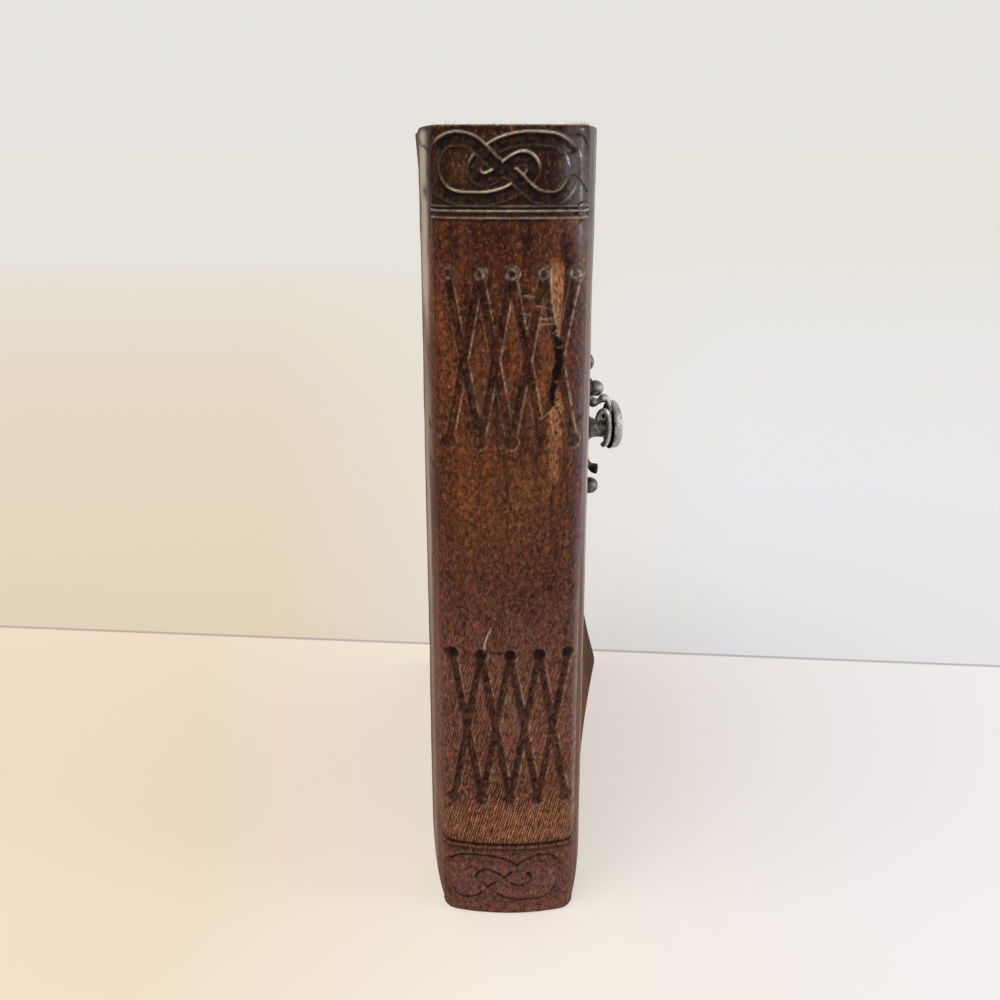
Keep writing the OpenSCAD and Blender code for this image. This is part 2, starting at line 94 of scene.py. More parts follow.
# Shape of the two covers: swell and lean outwards, and the curl of one fore-edge corner.
SWELL_RUN = 14.0
CORNER_R = 4.0
CURL_DEPTH = 82.0
FRONT = {"swell": 2.6, "taper": 0.052, "curl": 7.5, "reach": 52.0, "high": False}
BACK = {"swell": 3.0, "taper": 0.06, "curl": 1.8, "reach": 40.0, "high": True}


# Arrays

def smoothstep(value, low, high):
    """0 below low, 1 above high, and 3t^2 - 2t^3 between them."""
    t = np.clip((value - low) / (high - low), 0.0, 1.0)
    return t * t * (3.0 - 2.0 * t)


def bell(value, width):
    """exp(-(value / width)^2), a soft line or spot."""
    return np.exp(-(value / width) ** 2)


def lattice_noise(a, b, cell, seed):
    """Values from -1 to 1: even random numbers on a square lattice.

    Between the four nearest ones they are blended by smoothstep.
    """
    table = np.random.default_rng(seed).random((128, 128)) * 2.0 - 1.0
    a = np.asarray(a, float) / cell + 40.0
    b = np.asarray(b, float) / cell + 40.0
    a, b = np.broadcast_arrays(a, b)
    i, j = np.floor(a).astype(int), np.floor(b).astype(int)
    u, v = smoothstep(a - i, 0.0, 1.0), smoothstep(b - j, 0.0, 1.0)
    low = table[i % 128, j % 128] * (1 - u) + table[(i + 1) % 128, j % 128] * u
    high = table[i % 128, (j + 1) % 128] * (1 - u) + table[(i + 1) % 128, (j + 1) % 128] * u
    return low * (1 - v) + high * v


def catmull_rom(a, b, c, d, steps):
    """Samples between each b and its c, on a curve that comes from a and goes on to d."""
    t = (np.arange(steps) / steps)[None, :, None]
    return 0.5 * (2 * b + (c - a) * t + (2 * a - 5 * b + 4 * c - d) * t ** 2
                  + (3 * b - a - 3 * c + d) * t ** 3)


def smooth_path(points, steps):
    """Catmull-Rom curve through points, closed on itself, with steps samples for each point."""
    p = np.asarray(points, float)
    curve = catmull_rom(*(np.roll(p, k, axis=0)[:, None, :] for k in (1, 0, -1, -2)), steps)
    return curve.reshape(-1, p.shape[1])


def open_path(points, steps):
    """Catmull-Rom curve through points, from the first one to the last one."""
    p = np.asarray(points, float)
    ends = np.concatenate([[2 * p[0] - p[1]], p, [2 * p[-1] - p[-2]]])
    curve = catmull_rom(*(ends[k:len(ends) - 3 + k][:, None, :] for k in range(4)), steps)
    return np.concatenate([curve.reshape(-1, p.shape[1]), p[-1:]])


def as_points(x, y, z):
    """Three coordinates side by side, spread to one grid."""
    return np.stack(np.broadcast_arrays(x, y, z), axis=-1)


def circle_angles(count):
    """Even angles round a full circle."""
    return np.linspace(0, 2 * math.pi, count, endpoint=False)


def unit(vectors):
    """Vectors along the last axis, scaled to length one."""
    return vectors / np.linalg.norm(vectors, axis=-1, keepdims=True)


def segment_distance(x, z, start, end):
    """Distance of each point from a straight line between two points."""
    start, end = np.asarray(start, float), np.asarray(end, float)
    run = end - start
    t = np.clip(((x - start[0]) * run[0] + (z - start[1]) * run[1]) / (run @ run), 0.0, 1.0)
    return np.hypot(x - start[0] - t * run[0], z - start[1] - t * run[1])


def line_distance(x, z, points):
    """Distance of each point from a line through several points."""
    return np.min([segment_distance(x, z, a, b) for a, b in zip(points[:-1], points[1:])], axis=0)


def packed_rows(edges, coarse, fine, fine_spans):
    """Row places between two edges, a coarse step apart and a fine step apart inside the fine spans."""
    probe = np.linspace(edges[0], edges[1], 4001)
    inside = np.any([(probe >= a) & (probe <= b) for a, b in fine_spans], axis=0)
    density = np.where(inside, 1.0 / fine, 1.0 / coarse)
    count = np.concatenate([[0.0], np.cumsum((density[1:] + density[:-1]) / 2 * np.diff(probe))])
    return np.interp(np.linspace(0.0, count[-1], int(round(count[-1])) + 1), count, probe)


# Meshes

def grid_mesh(name, grids, attributes=(), wrap_u=True, sharp=55.0):
    """Mesh of one or more (u, v, 3) grids in millimetres, u closed on itself where wrap_u says so.

    Rows that have shrunk to a line or a point are merged, so the ends are closed. attributes are
    (name, list with one (u, v, 4) array for each grid).
    """
    points, faces, start = [], [], 0
    for grid in grids:
        nu, nv = grid.shape[:2]
        index = np.arange(nu * nv).reshape(nu, nv) + start
        if wrap_u:
            index = np.concatenate([index, index[:1]])
        quads = np.stack([index[:-1, :-1], index[1:, :-1], index[1:, 1:], index[:-1, 1:]], axis=-1)
        points.append(grid.reshape(-1, 3) * MM)
        faces.append(quads.reshape(-1, 4))
        start += nu * nv
    points, faces = np.concatenate(points), np.concatenate(faces)
    mesh = bpy.data.meshes.new(name)
    mesh.from_pydata(points, [], faces)
    for label, arrays in attributes:
        layer = mesh.attributes.new(label, "FLOAT_COLOR", "POINT")
        flat = np.concatenate([a.reshape(-1, 4) for a in arrays]).astype(np.float32)
        layer.data.foreach_set("color", flat.ravel())
    work = bmesh.new()
    work.from_mesh(mesh)
    bmesh.ops.remove_doubles(work, verts=work.verts, dist=MERGE_DIST)
    bmesh.ops.dissolve_degenerate(work, edges=work.edges, dist=1e-8)
    bmesh.ops.recalc_face_normals(work, faces=work.faces)
    work.to_mesh(mesh)
    work.free()
    mesh.shade_smooth()
    mesh.set_sharp_from_angle(angle=math.radians(sharp))
    piece = bpy.data.objects.new(name, mesh)
    bpy.context.scene.collection.objects.link(piece)
    return piece


def finish_piece(piece, material, slot, body, *nodes):
    """Gives a piece its material, lets it stand for CAD nodes and ride on a body; the slot is not used.
    """
    piece.data.materials.append(material)
    if nodes:
        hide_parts(*nodes)
    if body:
        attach(piece, body)
    return piece


def edge_rounding(distance, radius=0.9, power=2.6):
    """Share of the full thickness at a distance from a cut edge: (1 - (1 - d/r)^n)^(1/n)."""
    t = np.clip(1.0 - distance / radius, 0.0, 1.0)
    return (1.0 - t ** power) ** (1.0 / power)


EDGE_STEPS = np.array([0.0, 0.02, 0.08, 0.2, 0.42, 0.9])


def height_rows(coarse, fine, fine_spans):
    """Heights of the rows of points, from the lower cut edge to the upper one."""
    rim, end = EDGE_STEPS[:-1], EDGE_STEPS[-1]
    middle = packed_rows((end, COVER_H - end), coarse, fine, fine_spans)
    return np.concatenate([rim, middle, (COVER_H - rim)[::-1]])[None, :]


def hide_attributes(flat, carve, wear, tear):
    """What the leather material reads of a piece that is one grid."""
    return [("flat", [flat]), ("carve", [carve]), ("wear", [wear]), ("tear", [tear])]


def discard(helper):
    """Removes an object that only helped to make another, with its mesh."""
    mesh = helper.data
    bpy.data.objects.remove(helper)
    bpy.data.meshes.remove(mesh)


def spine_at(q):
    """Point and outward normal of the spine's face, at arc length q from its middle.

    A crown arc, then a shoulder arc, then a straight run to the fold.
    """
    side, far = np.sign(q), np.abs(q)
    crown = np.minimum(far, CROWN_ARC) / CROWN_R
    turn = crown + np.clip(far - CROWN_ARC, 0.0, SHOULDER_ARC) / SHOULDER_R
    straight = np.maximum(far - CROWN_ARC - SHOULDER_ARC, 0.0)
    on_crown = far <= CROWN_ARC
    x = np.where(on_crown, CROWN_R * np.sin(crown), SHOULDER_X + SHOULDER_R * np.sin(turn))
    y = np.where(on_crown, FACE_Y + CROWN_R * (1 - np.cos(crown)), SHOULDER_Y - SHOULDER_R * np.cos(turn))
    return side * x, y + straight, side * np.sin(turn), -np.cos(turn)


WRAP_X = 13.2
WRAP_RATE = 0.65


def pattern_x(q):
    """Place across the pattern: x over the crown, then a share of the arc length round the shoulders."""
    x = spine_at(q)[0]
    start = CROWN_ARC + SHOULDER_R * (math.asin((WRAP_X - SHOULDER_X) / SHOULDER_R) - CROWN_ANGLE)
    return np.where(np.abs(x) < WRAP_X, x, np.sign(q) * (WRAP_X + WRAP_RATE * (np.abs(q) - start)))


# Embossing of the spine

# Middle line of half of the knot, from its middle through one hook and one end loop.
KNOT_HALF = [(2.2, 1.5), (3.8, 2.0), (5.1, 1.4), (5.7, 0.1), (5.2, -1.3), (4.0, -2.4), (2.3, -3.6),
             (0, -4.7), (-3, -5.4), (-6.5, -5.5), (-10, -5.1), (-12.5, -3.4), (-13.6, -0.5), (-13.2, 2.6),
             (-11.5, 4.8), (-9, 5.5), (-6.2, 4.9), (-4.0, 3.2), (-2.0, 1.2)]
KNOT_STEPS = 14
KNOT_CROSSING = 18.23
# Strength of the painted highlight on the upper lip at points along the middle line.
LIP_HIGHLIGHT = [(0, 1.0), (3.6, 1.0), (5, 0.35), (6.5, 0.3), (7.4, 0.95), (11, 1.0), (12, 0.4),
                  (14, 0.3), (15, 0.7), (17.5, 0.8), (19, 0.4), (21, 0.75), (23, 0.6), (25, 0.4),
                  (28, 0.55), (29, 0.85), (32, 0.9), (34, 0.4), (36, 0.5), (37, 0.95), (40, 1.0)]
RIBBON_W = 2.2
RIBBON_RIM = 0.45
UPPER_KNOT = (-1.2, COVER_H - 8.0)
LOWER_KNOT = (-1.1, 9.0)
LOWER_STRETCH = 1.1
UPPER_BORDER = COVER_H - 16.1
LOWER_BORDER = 18.4
LACING_X = 0.35
LACING_STEP = 6.4
LACING_LINE_W = 1.7
LACING_DOT_R = 1.55
UPPER_LACING = (116.3, 150.3)
LOWER_LACING = (31.5, 68.0)
# Heights between which the spine is embossed and needs the fine step.
EMBOSSED_SPANS = [(0, 20.6), (29, 70.5), (108, 152.6), (159.2, COVER_H)]


def knot_field(x, z):
    """Recess, lip, upward, distance and painted lip highlight masks of the knot, with its middle at 0, 0.

    The closed middle line runs twice through the middle. The stroke that rises to the right passes
    over there, the crossing on either side is the other way round, so the strands alternate. Where a
    strand passes over, a lip beside it cuts the ribbon below.
    """
    half = np.array([(0.0, 0.0)] + KNOT_HALF)
    path = smooth_path(np.concatenate([half, half[:1], -half[:0:-1]]), KNOT_STEPS)
    points = len(path) / KNOT_STEPS
    place = np.arange(len(path)) / KNOT_STEPS
    over = np.zeros(len(path), bool)
    for middle, reach in ((0.0, 1.1), (KNOT_CROSSING, 1.0), (points - KNOT_CROSSING, 1.0)):
        over |= np.abs((place - middle + points / 2) % points - points / 2) <= reach
    ends = over & ~(np.roll(over, 1) & np.roll(over, -1))
    flat = np.stack([x.ravel(), z.ravel()], axis=1)
    near = np.hypot(*np.moveaxis(flat[:, None, :] - path[None, :, :], -1, 0))
    nearest_over = np.flatnonzero(over)[np.argmin(near[:, over], axis=1)]
    d_over = near[:, over].min(axis=1)
    d_rest = near[:, ~over].min(axis=1)
    nearest = np.argmin(near, axis=1)
    d_all = near[np.arange(len(flat)), nearest]
    beside = ~ends[nearest_over]
    edge = RIBBON_W / 2
    bowl_over = 1 - smoothstep(d_over, edge - 0.3, edge + 0.08)
    bowl_rest = 1 - smoothstep(d_rest, edge - 0.3, edge + 0.08)
    cut = beside * (1 - smoothstep(d_over, edge + RIBBON_RIM - 0.1, edge + RIBBON_RIM + 0.25))
    recess = np.maximum(bowl_over, bowl_rest * (1 - cut))
    crossing = beside * bell(d_over - edge - 0.16, 0.17) * (d_over < d_rest + 3)
    lip = np.maximum(bell(d_all - edge - 0.14, 0.17), crossing)
    owner = np.where(crossing > 0.3, nearest_over, nearest)
    to_owner = near[np.arange(len(flat)), owner]
    upward = (flat[:, 1] - path[owner, 1]) / np.maximum(to_owner, 0.2)
    bright = np.interp(place[owner], *zip(*LIP_HIGHLIGHT))
    return [m.reshape(x.shape) for m in (recess, lip, upward, d_all, bright)]


def lacing_field(x, z, rows):
    """Recess and lip masks of the crossed lacing: straight lines from dot to dot, with round dots."""
    first = LACING_X - 2 * LACING_STEP
    inside = np.full(np.broadcast(x, z).shape, 50.0)
    for k in range(5):
        left = first + k * LACING_STEP
        for row in rows:
            inside = np.minimum(inside, np.hypot(x - left, z - row) - LACING_DOT_R)
        if k < 4:
            for a, b in ((rows[0], rows[1]), (rows[1], rows[0])):
                line = segment_distance(x, z, (left, a), (left + LACING_STEP, b)) - LACING_LINE_W / 2
                inside = np.minimum(inside, line)
    right = np.gradient(inside, axis=0) / np.gradient(x, axis=0)
    return 1 - smoothstep(inside, -0.4, 0.06), bell(inside - 0.12, 0.15), inside, right


# Wear of the spine, as (x, z) places.
CRACK = [(9.4, 139.6), (9.9, 136.3), (10.0, 134.1), (9.9, 132.0), (9.5, 129.8), (9.0, 127.6),
         (8.9, 125.1), (9.1, 123.6)]
# Left and right edge of the torn places at several heights, as (z, left, right).
TORN_STRIP = [(137.4, 10.0, 10.2), (139.3, 9.6, 10.2), (141.3, 9.2, 10.3), (143.3, 8.9, 10.5),
              (145.2, 8.5, 10.6), (148.2, 8.3, 10.7), (151.4, 8.2, 10.7), (153.0, 7.6, 10.5)]
TORN_BAND = [(108.0, 8.2, 10.4), (113.3, 8.2, 10.8), (116.7, 8.1, 11.0), (120.1, 7.9, 11.1),
             (122.4, 8.3, 11.1), (123.9, 9.2, 10.9), (126.1, 9.4, 10.5), (128.6, 9.5, 9.9)]
CREASE = [(9.1, 109.0), (9.0, 103.7), (8.9, 97.0), (8.5, 91.2), (8.4, 80.0)]
BAR = [(-4.0, 68.6), (0.9, 68.6)]
LOW_SCRATCH = [(-4.0, 74.1), (-4.9, 72.0), (-5.3, 70.4), (-5.5, 68.2)]
CROSS_SCRATCHES = [[(5.3, 144.0), (7.0, 143.8), (8.6, 143.4)], [(2.4, 142.6), (4.0, 142.4)],
                   [(6.0, 141.6), (9.1, 141.4)], [(6.0, 140.4), (8.7, 140.4)],
                   [(2.8, 146.1), (4.8, 145.9)], [(6.4, 121.2), (7.3, 121.7), (8.3, 122.4)]]
HOLES = [(-6.9, 35.7), (0.4, 36.9), (-1.0, 31.6), (-9.5, 53.7), (5.9, 36.2), (3.4, 54.4), (-9.4, 130.4)]
# Rubbed, stained, purple and olive spots, as (strength, x, z, half width, half height).
RUBBED = [(0.9, -12.9, 136.0, 2.2, 13.0), (0.5, -6.1, 133.0, 1.5, 8.0), (0.75, 0.5, 133.5, 1.6, 9.0),
          (1.0, 6.9, 133.0, 1.6, 9.0), (0.9, 9.2, 155.0, 1.7, 5.0), (0.35, -9.5, 150.0, 1.6, 9.0),
          (0.75, -9.0, 105.0, 3.0, 12.0), (0.6, 0.0, 101.0, 8.0, 14.0), (1.5, 0.0, 24.8, 19.0, 4.6),
          (0.35, 4.0, 50.0, 9.0, 12.0), (0.4, 10.5, 38.0, 4.0, 14.0), (0.45, -13.0, 158.0, 2.0, 3.0),
          (0.6, 8.5, 112.0, 2.0, 8.0), (0.45, -12.5, 13.0, 3.0, 2.0), (0.4, 6.0, 2.0, 9.0, 2.0)]
STAINED = [(0.6, -1.0, 157.5, 11.0, 3.0), (0.45, -3.0, 150.0, 9.0, 4.0), (0.35, 3.0, 84.0, 8.0, 12.0),
           (1.1, 11.8, 150.0, 1.3, 9.0), (0.6, -12.0, 148.0, 1.3, 11.0), (0.5, 3.7, 128.0, 0.9, 9.0),
           (0.45, -2.8, 128.0, 0.9, 9.0), (0.4, 13.6, 96.0, 1.0, 30.0)]
PURPLE = [(0.55, 13.6, 140.0, 3.2, 26.0), (0.5, 14.5, 90.0, 3.0, 40.0), (0.6, -13.5, 52.0, 4.0, 26.0),
          (0.5, 0.0, 52.0, 12.0, 16.0), (0.45, 0.0, 75.0, 16.0, 14.0), (0.5, 13.0, 165.0, 3.5, 16.0),
          (1.3, 0.0, 8.5, 22.0, 9.5)]
OLIVE = [(0.75, -9.6, 170.2, 2.8, 3.4), (0.5, 8.5, 170.5, 3.5, 3.0), (0.75, 6.6, 147.5, 1.6, 4.5),
         (0.5, -6.3, 128.0, 1.2, 9.0), (0.5, 0.0, 120.0, 9.0, 4.0), (0.35, 2.0, 106.0, 9.0, 9.0),
         (0.5, 0.0, 175.5, 16.0, 1.6)]


def between(x, z, rows, soft, jitter):
    """Mask of the places between a left and a right edge given at several heights."""
    low, left, right = zip(*rows)
    inward = np.minimum(x - np.interp(z, low, left), np.interp(z, low, right) - x) + jitter
    ends = smoothstep(z, low[0] - 1.0, low[0] + 0.8) * (1 - smoothstep(z, low[-1] - 0.8, low[-1] + 1.0))
    return smoothstep(inward, -soft, soft) * ends


def border_lines(x, z):
    """Recess, painted highlight and dark masks of the two border bands, which also run on over the
    covers; dark is painted shadow under the upper border, painted shade in its grooves and a painted
    shadow line along the lower border.
    """
    recess, light, dark, depth = (np.zeros(np.broadcast(x, z).shape) for _ in range(4))
    for middle, width in ((UPPER_BORDER + 0.72, 0.7), (UPPER_BORDER - 0.3, 0.95),
                          (LOWER_BORDER + 0.75, 0.8), (LOWER_BORDER - 0.75, 0.8)):
        groove = 1 - smoothstep(np.abs(z - middle), width / 2 - 0.2, width / 2 + 0.08)
        recess = np.maximum(recess, groove)
        depth = np.maximum(depth, 0.42 * groove)
    # Painted highlights on the ridges of the upper border.
    for up, strength in ((1.22, 0.3), (0.3, 0.9), (-0.95, 0.4)):
        streak = 0.7 + 0.3 * lattice_noise(x, z, 1.4, 9)
        light = np.maximum(light, strength * streak * bell(z - UPPER_BORDER - up, 0.15))
    # Painted shadow under the upper border, fading to the right.
    below = (smoothstep(z, UPPER_BORDER - 2.0, UPPER_BORDER - 1.5)
             * (1 - smoothstep(z, UPPER_BORDER - 1.3, UPPER_BORDER - 1.0)))
    shade = 1 - 0.6 * smoothstep(x, 6.0, 10.0)
    dark = np.maximum(dark, 0.9 * below * shade * (0.75 + 0.4 * lattice_noise(x, z, 1.1, 10)))
    # Painted shade in the grooves of the upper border.
    dark = np.maximum(dark, 0.6 * recess * (z > 100) * (0.6 + 0.5 * lattice_noise(x, z, 0.7, 19)))
    # Painted shadow along the upper edge of the lower border.
    dark = np.maximum(dark, 0.97 * bell(z - LOWER_BORDER - 0.85, 0.44))
    return recess, light, dark, depth


def spine_fields(x, z):
    """Everything that is pressed, worn or broken into the spine's face, as named masks; light also holds
    painted highlights and dark painted shade and shadow.
    """
    shape = np.broadcast(x, z).shape
    x, z = np.broadcast_to(x, shape), np.broadcast_to(z, shape)
    recess, light, dark, depth = border_lines(x, z)
    lip = 0.8 * light
    weight = recess.copy()
    for middle, turn, stretch, high in ((UPPER_KNOT, 1.0, 1.0, True),
                                        (LOWER_KNOT, -1.0, LOWER_STRETCH, False)):
        rows = np.abs(z[0] - middle[1]) < 9.5
        open_end = 1 - 0.75 * smoothstep(np.abs(x - middle[0]), 12.0, 13.6)
        if not rows.any():
            continue
        part = np.ix_(np.ones(shape[0], bool), rows)
        px, pz = x[part], z[part]
        bowl, rim, upward, near, bright = knot_field(turn * (px - middle[0]), (pz - middle[1]) / stretch)
        recess[part] = np.maximum(recess[part], bowl)
        lip[part] = np.maximum(lip[part], rim)
        hollow = 0.78 + 0.22 * smoothstep(near, 0.0, RIBBON_W / 2)
        depth[part] = np.maximum(depth[part], bowl * hollow * (0.44 if high else 0.46))
        side = smoothstep(upward, 0.0, 0.75)
        fade = open_end[part]
        if high:
            # Painted highlight on the upper lips, strongest where they face up.
            streak = np.clip(0.9 + 0.5 * lattice_noise(px, pz * 1.5, 2.0, 4), 0, 1)
            light[part] = np.maximum(light[part],
                                     rim * streak * fade * (0.06 + 0.94 * side * bright ** 1.5))
            # Painted shade inside each ribbon under its upper edge, with dark blots.
            shade = bell(near - RIBBON_W / 2 + 0.45, 0.42) * side
            blots = smoothstep(lattice_noise(px, pz, 0.75, 3) + 0.5 * lattice_noise(px, pz, 0.4, 18),
                               -0.35, 0.5)
            dark[part] = np.maximum(dark[part], bowl * fade * np.clip(0.95 * shade + 0.85 * blots, 0, 1))
            # Painted shadow under the lower edges of the ribbons.
            under = bell(near - RIBBON_W / 2 - 0.55, 0.3) * smoothstep(-upward, 0.2, 0.9)
            dark[part] = np.maximum(dark[part], 0.75 * under)
            weight[part] = np.maximum(weight[part], bowl)
        else:
            # Painted shadow along the upper edges of the lower knot's ribbons.
            ragged = 0.16 * lattice_noise(px, pz, 0.5, 20)
            line = (smoothstep(-np.abs(near - RIBBON_W / 2 + 0.05 + ragged), -0.5, -0.2)
                    * smoothstep(upward, 0.0, 0.5))
            dark[part] = np.maximum(dark[part], 0.95 * line * fade)
            grains = (smoothstep(lattice_noise(px, pz, 0.42, 38), 0.5, 0.85)
                      * smoothstep(-pz, -17.6, -16.0))
            light[part] = np.maximum(light[part], 0.09 * grains * (1 - line))
            weight[part] = np.maximum(weight[part], 0.22 * bowl)
    for rows, deep in ((UPPER_LACING, 0.4), (LOWER_LACING, 0.5)):
        bowl, rim, inside, right = lacing_field(x, z, rows)
        recess = np.maximum(recess, bowl)
        lip = np.maximum(lip, rim)
        depth = np.maximum(depth, bowl * deep * (0.75 + 0.25 * smoothstep(-inside, 0.0, 0.8)))
        top_row = np.min([np.hypot(x - LACING_X - (k - 2) * LACING_STEP, z - rows[1]) for k in range(5)],
                         axis=0)
        # Painted highlight on the lips, stronger on their right side.
        lit = rim * (0.3 + 0.7 * smoothstep(right, -0.1, 0.8))
        beads = np.clip(0.65 + 0.7 * lattice_noise(x, z, 0.65, 5), 0, 1)
        if rows == UPPER_LACING:
            patchy = 0.4 + 0.6 * smoothstep(lattice_noise(x, z, 2.6, 36), -0.6, 0.6)
            light = np.maximum(light, 0.42 * lit * beads * patchy)
            # A raised ring round each upper dot, with a painted highlight on it.
            ring = bell(top_row - LACING_DOT_R * 0.62, 0.3)
            depth = depth - 0.14 * ring
            light = np.maximum(light, 0.4 * ring * beads * patchy * smoothstep(z, 140.0, 145.0))
            weight = np.maximum(weight, 0.4 * bowl)
            dark = np.maximum(dark, 0.6 * bowl * smoothstep(lattice_noise(x, z, 0.7, 8), 0.05, 0.6))
            # Painted shade on the left walls of the grooves.
            dark = np.maximum(dark, 0.35 * bell(inside + 0.25, 0.3) * smoothstep(-right, -0.2, 0.8))
        else:
            weight = np.maximum(weight, 0.8 * bowl)
            dark = np.maximum(dark, 0.9 * (1 - smoothstep(top_row, 0.7, 1.9)) * bowl)
            dark = np.maximum(dark, 0.65 * bowl * smoothstep(lattice_noise(x, z, 0.8, 8), -0.1, 0.6))
            # Painted shade on the left walls of the grooves.
            dark = np.maximum(dark, 0.5 * bell(inside + 0.2, 0.3) * smoothstep(-right, -0.2, 0.8))
            # Painted highlight on the lips, stronger on their right side.
            light = np.maximum(light, 0.3 * lit * beads
                               * smoothstep(lattice_noise(x, z, 3.0, 6), -0.6, 0.3))
    jitter = 0.35 * lattice_noise(x, z, 0.8, 11)
    wide = 0.85 - 0.4 * (1 - smoothstep(z, 124.0, 130.0)) - 0.25 * smoothstep(z, 136.5, 139.5)
    ribs = smoothstep(lattice_noise(x * 0.3, z, 0.5, 16), 0.2, 0.55)
    crack = 1 - smoothstep(line_distance(x, z, CRACK) + jitter, wide - 0.3, wide + 0.2)
    light = np.maximum(light, 0.4 * crack * ribs * smoothstep(z, 134.0, 137.0))
    crack = crack * (1 - 0.55 * ribs * smoothstep(z, 131.0, 136.0))
    dark = np.maximum(dark, crack)
    depth = np.maximum(depth, 0.6 * crack)
    strip = between(x, z, TORN_STRIP, 0.16, 0.3 * jitter)
    torn = between(x, z, TORN_BAND, 0.3, 1.1 * jitter)
    slits = smoothstep(lattice_noise(x * 1.8, z * 0.8, 0.7, 17), 0.05, 0.5)
    torn = torn * (0.55 + 0.45 * smoothstep(z, 114.0, 122.0))
    scuff = np.maximum(torn * (1 - 0.75 * slits), 0.95 * strip * smoothstep(-z, -154.0, -150.5))
    recess = recess * (1 - scuff)
    weight = weight * (1 - scuff)
    dark = np.maximum(dark * (1 - scuff), 0.7 * torn * slits)
    light = light * (1 - scuff)
    low, left, _ = zip(*TORN_STRIP)
    light = np.maximum(light, 0.7 * bell(x - np.interp(z, low, left), 0.16) * (z < 151.5) * (z > 137.5))
    fray = lattice_noise(x * 2.2 + 0.5 * z, z * 0.5, 0.7, 13)
    depth = depth * (1 - 0.5 * scuff) + scuff * (0.1 + 0.16 * fray)
    crease = bell(line_distance(x, z, CREASE) + 0.2 * lattice_noise(x, z, 1.2, 14), 0.3)
    dark = np.maximum(dark, 0.55 * crease * smoothstep(lattice_noise(x, z, 4.0, 15), -0.5, 0.4))
    depth = np.maximum(depth, 0.16 * crease)
    dark = np.maximum(dark, 0.7 * bell(line_distance(x, z, BAR), 0.42))
    for place in HOLES:
        hole = bell(np.hypot(x - place[0], (z - place[1]) * 0.8), 0.5)
        dark = np.maximum(dark, hole)
        depth = depth + 0.25 * hole
    for line, strength in [(LOW_SCRATCH, 0.6)] + [(line, 0.25) for line in CROSS_SCRATCHES]:
        scratch = bell(line_distance(x, z, line), 0.14)
        light = np.maximum(light, strength * scratch)
        depth = np.maximum(depth, 0.08 * scratch)
    return {"recess": np.clip(weight, 0, 1), "lip": lip, "dark": np.clip(dark, 0, 1),
            "light": np.clip(light, 0, 1), "depth": depth, "scuff": scuff}


def spots(x, z, rows):
    """Sum of soft ovals: strength exp(-((x - x0) / a)^2 - ((z - z0) / b)^2)."""
    return sum(k * np.exp(-((x - x0) / a) ** 2 - ((z - z0) / b) ** 2) for k, x0, z0, a, b in rows)


def spine_wear(x, z):
    """Rubbed, stained, glossy, wrinkled, purple and olive parts of the spine's face, each from 0 to 1."""
    drawn = lattice_noise(x * 2.5, z * 0.45, 2.2, 23)
    streak = lattice_noise(x * 3.0, z * 0.35, 2.6, 37) * smoothstep(z, 85.0, 112.0)
    rub = spots(x, z, RUBBED) * (0.85 + 0.3 * lattice_noise(x, z, 2.4, 21) + 0.25 * drawn)
    # The last term makes the whole face lighter below the lower border.
    rub = np.clip(rub + 0.4 * smoothstep(streak, 0.15, 0.8) + 0.3 * (1 - smoothstep(z, 14.0, 18.0)), 0, 1)
    stain = (spots(x, z, STAINED) + 1.25 * smoothstep(z, 160.9, 161.8)
             - 1.1 * spots(x, z, [(1.0, -9.6, 170.2, 3.0, 3.6)]))
    stain = stain * (0.85 + 0.3 * lattice_noise(x, z, 1.8, 22) + 0.3 * drawn)
    stain = np.clip(stain + 0.45 * smoothstep(-streak, 0.15, 0.8), 0, 1)
    cracks = smoothstep(np.abs(lattice_noise(x + 0.4 * z, z - 0.2 * x, 1.9, 24)), 0.05, 0.16)
    gloss = np.clip(1.1 * spots(x, z, [(1.3, 12.4, 170.0, 2.2, 7.0), (0.5, 14.0, 160.0, 1.5, 9.0),
                                       (0.3, 14.6, 120.0, 1.2, 60.0)]), 0, 1)
    wrinkle = np.clip(0.75 * spots(x, z, [(1.0, 0.0, 25.0, 18.0, 6.5)])
                      + 0.3 * (1 - smoothstep(z, 60.0, 80.0))
                      + 0.14 * (1 - smoothstep(z, 85.0, 115.0)), 0, 1) * (
                          0.12 + 0.88 * smoothstep(z, 16.5, 19.0))
    purple = np.clip(spots(x, z, PURPLE) * (0.9 + 0.4 * drawn), 0, 1)
    olive = np.clip(spots(x, z, OLIVE), 0, 1)
    return rub, stain, gloss * cracks, wrinkle, purple, olive


# Shader node trees

